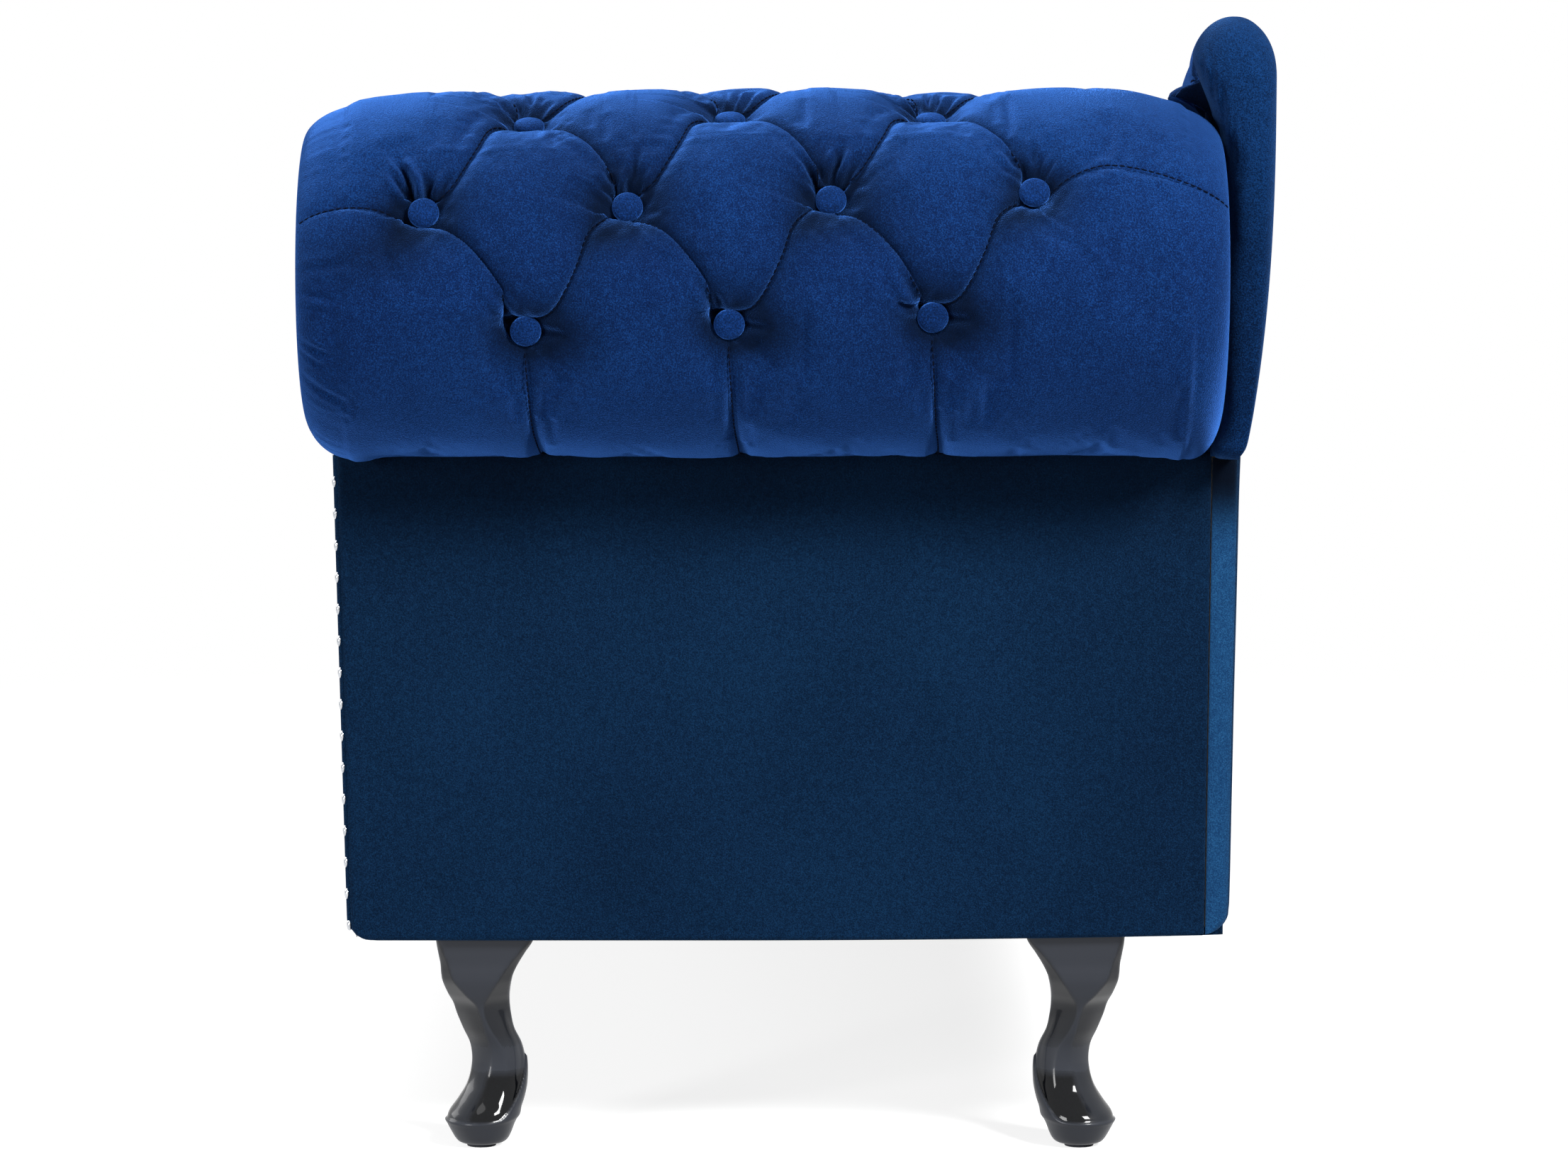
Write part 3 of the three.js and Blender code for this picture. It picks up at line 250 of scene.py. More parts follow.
class Tufting:
    def __init__(self, dimple_depth=19.0):
        self.seams = []
        self.buttons = []
        self.creases = []
        self.floors = []
        self.dimple_depth = dimple_depth

    def seam(self, points, depth, lap, under=(5.0, 24.0), spread=0.5):
        self.seams.append((curve_through(points), depth, lap, under, spread))

    def crease(self, spot, start, end, depth, width):
        """A crease beside a spot that deepens from its start to its end."""
        self.creases.append((np.add(spot, start, dtype=float), np.add(spot, end, dtype=float), depth, width))

    def gather(self, spot, degrees, reach, near, depth, width):
        """A crease that runs in towards a button."""
        way = np.array([math.cos(math.radians(degrees)), math.sin(math.radians(degrees))])
        self.crease(spot, way * reach, way * near, depth, width)

    def depth(self, u, v):
        return self.relief(u, v)[0]

    def relief(self, u, v):
        """Depth below the full pad, and the shift of the cover along u and v, at points of the layout."""
        shape = u.shape
        u, v = u.ravel(), v.ravel()
        left = np.ones_like(u)
        shift = np.zeros((len(u), 2))
        for line, depth, lap, (near, far), spread in self.seams:
            low, high = line.min(0) - 60, line.max(0) + 60
            mask = np.nonzero((u > low[0]) & (u < high[0]) & (v > low[1]) & (v < high[1]))[0]
            if not len(mask):
                continue
            d, side, normal = nearest_on(line, u[mask], v[mask])
            over = side > 0
            f = np.where(over,
                         0.8 * np.exp(-((d / 3.2) ** 1.4)) + 0.2 * np.exp(-d / 20),
                         (1 - spread) * np.exp(-d / near) + spread * np.exp(-d / far))
            left[mask] *= 1 - f * min(1.0, depth / SEAM_DEPTH)
            push = np.where(over, lap * (d / 3.6) * np.exp(1 - d / 3.6), 0.0)
            shift[mask] -= normal * push[:, None]
        total = SEAM_DEPTH * (1 - left)
        for bu, bv in self.buttons:
            r = np.hypot(u - bu, v - bv)
            near = r < 90
            total[near] += self.dimple_depth * np.exp(-((r[near] / DIMPLE_RADIUS) ** 1.6))
        for cu, cv, radius, depth in self.floors:
            r = np.hypot(u - cu, v - cv)
            total += depth * np.exp(-((r / radius) ** 2))
        for crease in self.creases:
            total += creased(u, v, *crease)
        return total.reshape(shape), shift[:, 0].reshape(shape), shift[:, 1].reshape(shape)


def creased(u, v, start, end, depth, width):
    """Depth of one crease that deepens from its start to its end, with a low ridge on each side."""
    along = end - start
    t = np.clip(((u - start[0]) * along[0] + (v - start[1]) * along[1]) / along.dot(along), 0, 1)
    d = np.hypot(u - start[0] - t * along[0], v - start[1] - t * along[1])
    ridge = 0.45 * np.exp(-(((d - 2.3 * width) / width) ** 2))
    return smoothstep(t, 0.0, 0.55) * depth * (np.exp(-((d / width) ** 2)) - ridge)


def nearest_on(line, u, v):
    """Distance to a line of points, +1 on its right-hand side or -1, and the unit normal to the right."""
    best = np.full(len(u), 1e9)
    side = np.ones(len(u))
    normal = np.zeros((len(u), 2))
    for a, b in zip(line[:-1], line[1:]):
        along = b - a
        length = np.linalg.norm(along)
        if length < 1e-6:
            continue
        pu, pv = u - a[0], v - a[1]
        t = np.clip((pu * along[0] + pv * along[1]) / length**2, 0, 1)
        d = np.hypot(pu - t * along[0], pv - t * along[1])
        closer = d < best - 1e-9
        right = np.array([along[1], -along[0]]) / length
        best = np.where(closer, d, best)
        side = np.where(closer, np.where(pu * right[0] + pv * right[1] >= 0, 1.0, -1.0), side)
        normal[closer] = right
    return best, side, normal


def beside(spot, offsets):
    """Points at the given offsets from a spot."""
    return [(spot[0] + a, spot[1] + b) for a, b in offsets]


def right_seam(top, bottom, pocket):
    """From under the upper button, round the shoulder of the panel below it, down to the lower right one."""
    (u, v), (bu, bv) = top, bottom
    ku, kv = (bu - u) / 73.0, (v - bv) / 102.0
    shoulder = [(-14, -11), (-6, -13), (3, -13), (12, -15), (21, -21), (31, -30), (41, -42), (50, -55)]
    points = [(u + a * (ku if a > 0 else 1), v + b * (kv if b < -15 else 1)) for a, b in shoulder]
    into_pocket = [(-16, 33), (1 - pocket, 20), (-pocket, 5), (-pocket * 0.72, -8), (-3, -13)]
    return points + beside(bottom, into_pocket)


def left_seam(top, bottom):
    """From under the upper button straight down to the lower left one, and over its top."""
    halfway = ((top[0] + bottom[0]) / 2 + 1, (top[1] + bottom[1]) / 2 + 2)
    return (beside(top, [(-14, -11), (-19, -15), (-28, -27)]) + [halfway]
            + beside(bottom, [(25, 27), (15, 14), (4, 10.5), (-9, 12)]))


def add_diamonds(tuft, rows, pitch, seed, pockets=None):
    """Joins rows of buttons, lowest first, with lapped seams, and creases the cover above every button."""
    rng = np.random.default_rng(seed)
    for row in rows:
        tuft.buttons += row
    for lower, upper in zip(rows[:-1], rows[1:]):
        for top in upper:
            for bottom in lower:
                if abs(bottom[0] - top[0]) > pitch * 0.8:
                    continue
                if bottom[0] > top[0]:
                    pocket = (pockets or {}).get(bottom, 10.5)
                    tuft.seam(right_seam(top, bottom, pocket), 9.5, 3.2, under=(5.0, 30.0))
                else:
                    tuft.seam(left_seam(top, bottom), 8.0, 1.8, under=(5.0, 30.0), spread=0.45)
    for row in rows:
        for spot in row:
            for degrees in rng.uniform(75, 150, 2):
                tuft.gather(spot, degrees, rng.uniform(26, 44), 11,
                            rng.uniform(2.4, 4.2), rng.uniform(2.2, 3.0))


# Cloth
# The cover of each pad is blown up between its seams and buttons as cloth, on a coarse grid; how far it moves
# is then added to the fine grid, which carries the seams.

CLOTH_FRAMES, CLOTH_PRESSURE, CLOTH_SLACK = 20, 4.0, 0.02


def blown_up(points, held, cap):
    """Moves, up to the cap, of a grid of points that swells as cloth, sewn down where held is set."""
    rows, columns = points.shape[:2]
    mesh = bpy.data.meshes.new("cloth")
    mesh.from_pydata((points.reshape(-1, 3) * MM).tolist(), [], grid_faces(rows, columns))
    mesh.update()
    cloth = bpy.data.objects.new("cloth", mesh)
    scene = bpy.context.scene
    scene.collection.objects.link(cloth)
    pins = cloth.vertex_groups.new(name="sewn")
    pins.add(np.nonzero(held.ravel())[0].tolist(), 1.0, "REPLACE")
    modifier = cloth.modifiers.new("cloth", "CLOTH")
    settings = modifier.settings
    settings.vertex_group_mass = "sewn"
    settings.quality = 4
    settings.mass = 0.25
    settings.tension_stiffness = settings.compression_stiffness = 12.0
    settings.shear_stiffness, settings.bending_stiffness = 5.0, 0.6
    settings.use_pressure = True
    settings.uniform_pressure_force = CLOTH_PRESSURE
    settings.shrink_min = -CLOTH_SLACK
    settings.effector_weights.gravity = 0.0
    modifier.collision_settings.use_collision = False
    modifier.point_cache.frame_start, modifier.point_cache.frame_end = 1, CLOTH_FRAMES
    for number in range(1, CLOTH_FRAMES + 1):
        scene.frame_set(number)
    graph = bpy.context.evaluated_depsgraph_get()
    swollen = cloth.evaluated_get(graph).to_mesh()
    co = np.empty(len(swollen.vertices) * 3)
    swollen.vertices.foreach_get("co", co)
    cloth.evaluated_get(graph).to_mesh_clear()
    scene.frame_set(1)
    bpy.data.objects.remove(cloth)
    bpy.data.meshes.remove(mesh)
    move = co.reshape(rows, columns, 3) / MM - points
    length = np.linalg.norm(move, axis=-1, keepdims=True)
    return move * np.minimum(1.0, cap / np.maximum(length, 1e-6))


def sewn_down(tuft, u, v, reach):
    """True at the points of a grid on its edges, within reach of a seam or under a button."""
    held = np.zeros(u.shape, bool).ravel()
    a, b = u.ravel(), v.ravel()
    for line, *_ in tuft.seams:
        near = np.nonzero((np.abs(a - line[:, 0].mean()) < 160) & (np.abs(b - line[:, 1].mean()) < 260))[0]
        d, _, _ = nearest_on(line, a[near], b[near])
        held[near[d < reach]] = True
    for x, y in tuft.buttons:
        held |= np.hypot(a - x, b - y) < 15
    held = held.reshape(u.shape)
    held[[0, -1]] = held[:, [0, -1]] = True
    return held


def spread_over(moves, low, high, u, v):
    """Moves of a coarse even grid between two corners, read off at the points u, v by bilinear steps."""
    rows, columns = moves.shape[:2]
    a = np.clip((u - low[0]) / (high[0] - low[0]), 0, 1) * (rows - 1)
    b = np.clip((v - low[1]) / (high[1] - low[1]), 0, 1) * (columns - 1)
    i, j = np.minimum(a.astype(int), rows - 2), np.minimum(b.astype(int), columns - 2)
    fa, fb = (a - i)[..., None], (b - j)[..., None]
    near = moves[i, j] * (1 - fa) + moves[i + 1, j] * fa
    far = moves[i, j + 1] * (1 - fa) + moves[i + 1, j + 1] * fa
    return near * (1 - fb) + far * fb


def swelling(tuft, place, low, high, step, reach, u, v):
    """Moves as cloth, at points u, v of the layout, of the cover that place lays between two corners."""
    cu, cv = grid_of(between(low[0], high[0], step), between(low[1], high[1], step))
    moves = blown_up(place(cu, cv, tuft.depth(cu, cv)), sewn_down(tuft, cu, cv, reach), reach)
    return spread_over(moves, low, high, u, v)


# Materials


def linear(code):
    """An sRGB hex colour as a linear RGBA tuple."""
    channels = [int(code[n : n + 2], 16) / 255 for n in (1, 3, 5)]
    return tuple(c / 12.92 if c <= 0.04045 else ((c + 0.055) / 1.055) ** 2.4 for c in channels) + (1.0,)


def node(tree, kind, values=None):
    """Adds a node of a kind. A key is the name or number of an input, or the name of a setting. An output is
    linked, and so is a node, which stands for its first output. Stops are a ramp's places and colours."""
    made = tree.nodes.new(kind)
    for key, value in (values or {}).items():
        if isinstance(value, bpy.types.Node):
            value = value.outputs[0]
        if isinstance(value, bpy.types.NodeSocket):
            tree.links.new(value, made.inputs[key])
        elif key == "stops":
            while len(made.color_ramp.elements) < len(value):
                made.color_ramp.elements.new(0.5)
            for element, (position, color) in zip(made.color_ramp.elements, value):
                element.position, element.color = position, linear(color)
        elif isinstance(key, int) or key in made.inputs:
            made.inputs[key].default_value = value
        else:
            setattr(made, key, value)
    return made


def new_material(name):
    """A material without nodes, its tree and the object's own coordinates in it."""
    material = bpy.data.materials.new(name)
    material.use_nodes = True
    tree = material.node_tree
    tree.nodes.clear()
    return material, tree, node(tree, "ShaderNodeTexCoord").outputs["Object"]


def added_up(tree, parts):
    """The sum of some patterns, each times its share."""
    (first, share), *others = parts
    total = node(tree, "ShaderNodeMath", {"operation": "MULTIPLY", 0: first, 1: share})
    for part, share in others:
        total = node(tree, "ShaderNodeMath", {"operation": "MULTIPLY_ADD", 0: part, 1: share, 2: total})
    return total


def surface(tree, values, height, strength, distance):
    """Ends a material's tree in a surface with some relief, whose depth is in metres."""
    relief = node(tree, "ShaderNodeBump", {"Strength": strength, "Distance": distance, "Height": height})
    shader = node(tree, "ShaderNodeBsdfPrincipled", {**values, "Normal": relief})
    node(tree, "ShaderNodeOutputMaterial", {"Surface": shader})


def velvet(name, deep, full, light, sheen, tint="#4f86de"):
    """Short-pile cotton velvet. The eye sees a dark, soft ground, a lighter bloom where the pile turns
    edge-on, fine speckle of the cut tufts, and faint broad brush marks where the nap was stroked."""
    material, tree, place = new_material(name)
    # Cut tufts are about 0.3 mm apart; they are drawn at 1.1 mm so that they show in the picture.
    speckle = node(tree, "ShaderNodeTexNoise",
                   {"Scale": 900.0, "Detail": 2.0, "Roughness": 0.75, "Vector": place})
    # Spots where the pile lies a little over, 4 to 8 mm wide.
    mottle = node(tree, "ShaderNodeTexNoise",
                  {"Scale": 170.0, "Detail": 2.0, "Roughness": 0.5, "Vector": place})
    # Brush marks, 100 to 200 mm wide.
    brush = node(tree, "ShaderNodeTexNoise",
                 {"Scale": 6.0, "Detail": 2.0, "Roughness": 0.45, "Distortion": 0.3, "Vector": place})
    mixed = added_up(tree, [(speckle, 0.7), (mottle, 0.12), (brush, 0.18)])
    pile = node(tree, "ShaderNodeValToRGB", {0: mixed, "stops": [(0.38, deep), (0.5, full), (0.63, light)]})
    # The attribute "fold" is a share of painted shade: there the colour is taken towards near black, in seams,
    # dimples and other places where shade falls.
    fold = node(tree, "ShaderNodeAttribute", {"attribute_name": "fold"}).outputs["Fac"]
    color = node(tree, "ShaderNodeMix", {"data_type": "RGBA", 0: fold, 6: pile, 7: linear("#010612")})
    values = {"Base Color": color.outputs[2], "Roughness": 0.95, "Specular IOR Level": 0.05,
              "Sheen Weight": sheen, "Sheen Roughness": 0.38, "Sheen Tint": linear(tint)}
    surface(tree, values, speckle, 0.8, 0.001)
    return material


VELVET = velvet("velvet_short_pile", "#041436", "#07204b", "#113871", 1.0, "#4d8ef8")
# The copies below are coloured darker on the upright panels and the nose and lighter on the strip at the arm
# end, standing in for how light falls on pile laid down, to the rear and sideways: painted shade and painted
# light.
VELVET_DOWN_SHADED = velvet("velvet_pile_down_painted_shade", "#021226", "#061d36", "#0c2a48", 0.35, "#5a8cc4")
VELVET_NOSE_SHADED = velvet("velvet_pile_to_the_rear_painted_shade", "#02112a", "#062145", "#0d3262", 0.38, "#4a80cc")
VELVET_SIDE_LIT = velvet("velvet_pile_sideways_painted_light", "#0f2f54", "#173f66", "#214f7a", 0.3, "#6f96c8")
VELVET_BUTTON = velvet("velvet_button_cover", "#041432", "#07204a", "#0f3470", 1.0, "#4583ea")


def lacquer():
    """Black lacquer over turned and carved beech, rubbed down to a low gloss on the knee and shank and left
    glossy on the instep. The eye sees charcoal wood with a dull sheen, and near-black wood that mirrors lamps;
    the charcoal is painted into the colour of the rubbed-down parts, as painted sheen."""
    material, tree, place = new_material("lacquer_black_on_beech")
    satin = node(tree, "ShaderNodeAttribute", {"attribute_name": "satin"}).outputs["Fac"]
    # Brush marks in the coat, about 3 mm apart, and dust specks under it of 1 mm.
    ripple = node(tree, "ShaderNodeTexNoise", {"Scale": 90.0, "Detail": 2.0, "Vector": place})
    dust = node(tree, "ShaderNodeTexNoise", {"Scale": 900.0, "Detail": 2.0, "Vector": place})
    mixed = node(tree, "ShaderNodeMath", {"operation": "MULTIPLY_ADD", 0: dust, 1: 0.25, 2: satin})
    # Charcoal where the lacquer is rubbed down, near black where it is glossy: the charcoal is painted sheen.
    stops = [(0.1, "#050608"), (0.45, "#181a1f"), (1.0, "#23262c"), (1.0, "#2b2e35")]
    color = node(tree, "ShaderNodeValToRGB", {0: mixed, "stops": stops})
    rough = node(tree, "ShaderNodeMapRange",
                 {"Value": satin, "From Min": 0.0, "From Max": 1.0, "To Min": 0.07, "To Max": 0.42})
    values = {"Base Color": color, "Roughness": rough, "Specular IOR Level": 0.14,
              "Coat Weight": 0.22, "Coat Roughness": 0.05}
    surface(tree, values, ripple, 0.12, 0.0003)
    return material


LACQUER = lacquer()


def grained(name, rough, metal, scale, depth, tones):
    """A surface of one finish with a fine grain, at a scale per metre, in two tones."""
    material, tree, place = new_material(name)
    grain = node(tree, "ShaderNodeTexNoise", {"Scale": scale, "Detail": 3.0, "Vector": place})
    color = node(tree, "ShaderNodeValToRGB", {0: grain, "stops": list(zip((0.35, 0.65), tones))})
    surface(tree, {"Base Color": color, "Roughness": rough, "Metallic": metal}, grain, 0.3, depth)
    return material


def timber(name, axis, tones, stripes=0.0):
    """Planed softwood, or plywood with its plies showing on the cut edges. The eye sees pale wood with darker
    grain lines along the piece and a dry, slightly fuzzy surface."""
    material, tree, place = new_material(name)
    # Grain lines about 3 mm apart, drawn out thirty times along the piece.
    scale = [0.033 if way == axis else 1.0 for way in "xyz"]
    stretched = node(tree, "ShaderNodeMapping", {"Scale": scale, "Vector": place})
    grain = node(tree, "ShaderNodeTexNoise",
                 {"Scale": 320.0, "Detail": 4.0, "Roughness": 0.6, "Vector": stretched})
    broad = node(tree, "ShaderNodeTexNoise", {"Scale": 60.0, "Detail": 2.0, "Vector": stretched})
    parts = [(grain, 0.5), (broad, 0.5)]
    if stripes:
        # Plies 1.6 mm thick, one light and one dark by turns.
        plies = node(tree, "ShaderNodeTexWave", {"bands_direction": "Y", "Scale": stripes, "Vector": place})
        parts.append((plies.outputs["Fac"], 0.16))
    stops = list(zip((0.35, 0.5, 0.68), tones))
    color = node(tree, "ShaderNodeValToRGB", {0: added_up(tree, parts), "stops": stops})
    surface(tree, {"Base Color": color, "Roughness": 0.72, "Specular IOR Level": 0.3}, grain, 0.4, 0.0004)
    return material


def woven(name, pitch, tones, rough):
    """Loose plain weave of jute. The eye sees round yarns that cross over and under, now thick, now thin."""
    material, tree, place = new_material(name)
    values = {"Scale": 0.314 / pitch, "Distortion": 0.6, "Detail Scale": 3.0, "Vector": place}
    yarns = [node(tree, "ShaderNodeTexWave", {"bands_direction": way, **values}) for way in "XYZ"]
    x, y, z = [yarn.outputs["Fac"] for yarn in yarns]
    upright = node(tree, "ShaderNodeMath", {"operation": "MAXIMUM", 0: y, 1: z})
    crossed = node(tree, "ShaderNodeMath", {"operation": "MULTIPLY", 0: x, 1: upright})
    slub = node(tree, "ShaderNodeTexNoise", {"Scale": 220.0, "Detail": 3.0, "Vector": place})
    mixed = added_up(tree, [(slub, 0.5), (crossed, 0.5)])
    color = node(tree, "ShaderNodeValToRGB", {0: mixed, "stops": list(zip((0.2, 0.45, 0.7), tones))})
    surface(tree, {"Base Color": color, "Roughness": rough, "Specular IOR Level": 0.2}, mixed, 0.7, 0.0008)
    return material


# Nonwoven polypropylene, black: matt, with a faint print of the rollers that bonded it.
DUST_CLOTH = grained("polypropylene_nonwoven_black", 0.9, 0.0, 700.0, 0.0003, ("#0c0d10", "#1a1b1f"))
# Zinc-plated steel: pale grey, brushed dull by handling.
ZINC = grained("steel_zinc_plated", 0.38, 1.0, 260.0, 0.0002, ("#8f9296", "#b9bcbf"))
# Domed nickel-plated heads: bright, mirror-like, slightly uneven from the hammer.
NAIL = grained("steel_nickel_plated_nail", 0.16, 1.0, 400.0, 0.0002, ("#aeb1b6", "#c8cbd0"))
# Flexible polyurethane foam, cut from the block: dull, pitted cream.
FOAM = grained("polyurethane_foam_cut", 0.95, 0.0, 900.0, 0.0012, ("#c9b98a", "#e3d6ae"))
# Needled wool felt, dark grey and matt.
FELT = grained("wool_felt_needled", 0.97, 0.0, 800.0, 0.0006, ("#25262a", "#3d3f45"))
HESSIAN = woven("jute_hessian", 0.0028, ("#4a3a22", "#8a7046", "#b59a68"), 0.9)
PINE_TONES, PLYWOOD_TONES = ("#a67a45", "#c79a60", "#dcb47c"), ("#a9834f", "#cda973", "#e0c293")
PINE = {axis: timber("pine_planed_" + axis, axis, PINE_TONES) for axis in "xyz"}
PLYWOOD = {axis: timber("birch_plywood_" + axis, axis, PLYWOOD_TONES, 98.0) for axis in "xz"}
# Spun polyester thread in the darkest blue of the pile, nearly black. The stitches lie almost end to end, so
# that they also draw the dark line of shade along each seam: partly painted shade.
THREAD_AND_SEAM_SHADE = velvet("thread_spun_polyester_and_seam_shade", "#01040c", "#030818", "#061026", 0.05)


# Scroll arm

ARM_CENTRE, ARM_PITCH, ARM_CLIMB = -44.0, 146.0, 0.04
ARM_ROWS = [182.0 + 102.0 * n for n in range(6)]
# Seams from the outermost buttons of every second row to the ends of the roll.
TO_FRONT = [(-110, -8), (-92, -6), (-77, -1), (-56, 1.5), (-35, -0.5), (-18, -6), (-12, -10)]
TO_REAR = [(7, -1), (13, 1), (26, 8), (49, 15), (71, 14), (94, 10), (116, 4), (142, -6)]
# Folds that the photograph shows beside the first three buttons of the second row, as start and end.
BUTTON_FOLDS = [
    [((-26, 38), (-12, 14)), ((-21, 50), (-10, 17)), ((-14, 40), (-5, 12))],
    [((8, 32), (4, 12)), ((14, 26), (7, 10)), ((-24, 22), (-12, 8)), ((-20, 30), (-11, 13))],
    [((9, 48), (3, 12)), ((14, 28), (7, 11)), ((-20, 30), (-12, 10)), ((-17, 14), (-11, 4))],
]
# Wrinkles that run in from the front end of the roll: start, end, depth and width.
END_WRINKLES = [
    ((-318, 202), (-354, 209), 2.4, 2.8),
    ((-328, 195), (-354, 198), 1.8, 2.2),
    ((-322, 157), (-354, 166), 2.4, 2.6),
    ((-331, 148), (-353, 155), 1.8, 2.2),
    ((-312, 232), (-352, 226), 1.6, 3.2),
    ((-316, 118), (-350, 130), 1.6, 3.0),
]


def arm_station(s):
    """Point on the core, and outward normal, at a distance s along the pad's face from its lower edge."""
    angle = np.clip(s, None, ARC_LENGTH) / ROLL_RADIUS - math.pi / 2
    nx, nz = np.cos(angle), np.sin(angle)
    x, z = ROLL_X + CORE_RADIUS * nx, ROLL_Z + CORE_RADIUS * nz
    return x, z - np.clip(s - ARC_LENGTH, 0, None), nx, nz


def arm_rows():
    rows = []
    for n, v in enumerate(ARM_ROWS):
        count = 4 if n % 2 else 3
        us = [ARM_CENTRE + (k - (count - 1) / 2) * ARM_PITCH for k in range(count)]
        rows.append([(u, v + ARM_CLIMB * (u - ARM_CENTRE)) for u in us])
    return rows


def arm_tufting():
    tuft = Tufting()
    rows = arm_rows()
    pockets = dict(zip(rows[0], (17.0, 15.0, 11.0)))
    add_diamonds(tuft, rows, ARM_PITCH, 7, pockets)
    for (u, v), pocket in pockets.items():
        tuft.floors.append((u - pocket * 0.75, v + 8, 11.0, (pocket - 9) * 0.5))
        down = beside((u, v), [(-1, -12), (1, -45), (3, -90), (6, -140)])
        tuft.seam(down + [(u + 7, -30)], 4.2, 1.2, spread=0.3)
    for u, v in rows[-1]:
        tuft.seam([(u, v + 12), (u + 2, v + 120), (u, 960)], 6.0, 1.4, spread=0.3)
    for row in rows[1::2]:
        tuft.seam(beside(row[0], TO_FRONT), 3.4, 1.0, spread=0.3)
        tuft.seam(beside(row[-1], TO_REAR), 1.5, 0.4, under=(2.5, 14.0), spread=0.2)
    for spot, folds in zip(rows[1], BUTTON_FOLDS):
        for start, end in folds:
            tuft.crease(spot, start, end, 5.0, 2.6)
    rng = np.random.default_rng(29)
    for spot in rows[1] + rows[2]:
        for degrees in (62, 78, 92, 108, 124):
            tuft.gather(spot, degrees + rng.uniform(-5, 5), rng.uniform(30, 52), 12,
                        rng.uniform(3.2, 5.2), rng.uniform(1.9, 2.6))
    for wrinkle in END_WRINKLES:
        tuft.crease((0, 0), *wrinkle)
    for spot in rows[0]:
        tuft.crease(spot, (34, 1), (12, -1), 2.0, 3.5)
        tuft.crease(spot, (-30, 46), (-17, 20), 2.4, 2.2)
        tuft.crease(spot, (-24, 38), (-12, 15), 2.4, 2.0)
    return tuft


def settled(x, y, z):
    """How much the stuffed roll rises over an even one: its ends sink, its lower side is drawn up."""
    ends = -6.0 * smoothstep(y, 215, 290) - 2.6 * smoothstep(-y, 215, 290)
    crown = 3.0 * np.exp(-(((y + 23) / 95) ** 2))
    upper = (ends + crown) * smoothstep(z, ROLL_Z + 20, ROLL_Z + 120)
    return upper + 3.0 * (1 - smoothstep(z, 524, 572)) * smoothstep(x, 700, 712) * smoothstep(y, -325, -285)


def arm_point(u, s, depth):
    """Place of a point of the pad that lies u along the roll and s round it, under a depth of tufting."""
    x, z, nx, nz = arm_station(s)
    over = (1 + nz) / 2
    front = 1 - quarter_round(1 - (u - Y_FRONT) / (45 + 65 * over))
    rear = 1 - quarter_round(1 - (Y_ARM_REAR - u) / (22 + 58 * over))
    thick = 1 + (PAD_THICKNESS - depth - 1) * front * rear
    x, z = x + nx * thick, z + nz * thick
    below = 1 - smoothstep(z, Z_LEAN_TOP - 10, Z_LEAN_TOP + 60)
    u = u + np.where(x < 614, 13.5 * below * np.clip(1 - (u - Y_FRONT) / 110, 0, 1), 0)
    y = np.where(x < X_PANEL + 0.3, np.minimum(u, Y_BOARD_FRONT - 0.8), u)
    return stacked(x, y, z + settled(x, y, z))


def arm_pad():
    ends = (np.arange(20) / 20) ** 2
    middle = np.arange(Y_FRONT + 27, Y_ARM_REAR - 16, 1.75)
    us = np.concatenate([Y_FRONT + 27 * ends, middle, Y_ARM_REAR - 16 * ends[::-1]])
    s_end = ARC_LENGTH + ROLL_Z - Z_SEAT_PAD - 0.4
    ss = np.concatenate([np.arange(-14, 430, 1.7), np.arange(430, s_end, 2.8), [s_end]])
    u, s = grid_of(us, ss)
    tuft = arm_tufting()
    depth, du, dv = tuft.relief(u, s)
    depth = depth + 1.0 * value_noise(u, s, 70, 3) + 0.5 * value_noise(u, s, 28, 4)
    # Small gathers where the cover is drawn in over the front end of the roll.
    ripples = 1.2 * value_noise(s, 3, 13, 5) + 0.9 * value_noise(s, 9, 6, 6)
    gather = np.exp(-((u - Y_FRONT) / 26) ** 2) * ripples
    # Room for the swelling of the cloth.
    off_front = smoothstep(u, Y_FRONT + 10, Y_FRONT + 60)
    depth = depth + 2.6 * off_front * smoothstep(-u, -Y_ARM_REAR + 8, -Y_ARM_REAR + 50)
    depth = np.clip(depth + gather, -3, PAD_THICKNESS - 4)
    edge = smoothstep(u, Y_FRONT, Y_FRONT + 12) * smoothstep(-u, -Y_ARM_REAR, -Y_ARM_REAR + 12)
    low, high = (Y_FRONT + 30.0, 0.0), (Y_ARM_REAR - 25.0, 880.0)
    sewn = lambda u, s, depth: arm_point(u, s, np.clip(depth + 1.5, 0, PAD_THICKNESS - 4))
    outer = arm_point(u + du * edge, s + dv, depth) + swelling(tuft, sewn, low, high, 5.5, 5.0, u, s)
    inner = arm_point(u, s, np.full_like(u, PAD_THICKNESS - 0.45))
    piece = make_piece("arm_pad_cover", *closed_shell(outer, inner), VELVET, "velvet", ["arm_pad"], 0.8)
    # Painted shade: the colour darkens in the seams and dimples, in spots beside the buttons and in the hollow
    # at the front end.
    rows = arm_rows()
    shade_spots = [(bu + 34, bv - 2, 27, 24, 0.5) for bu, bv in rows[0]]
    shade_spots += [(bu - 17, bv - 26, 20, 17, 0.4) for bu, bv in rows[1]]
    shade_spots.append((-305, 236, 42, 23, 0.42))
    dark = 0.0
    for a, b, ru, rs, share in shade_spots:
        dark = dark + share * np.exp(-(((u - a) / ru) ** 2) - ((s - b) / rs) ** 2)
    mark(piece, "fold", np.clip(0.92 * smoothstep(depth, 1.5, 17.0) + dark, 0, 0.92))
    return tuft


# Covered panels and facings


def lean(z, amount):
    """How far a panel's face has come in at a height: nothing at the roll, the amount at its lower edge."""
    return amount * (Z_LEAN_TOP - z) / (Z_LEAN_TOP - Z_PANEL)


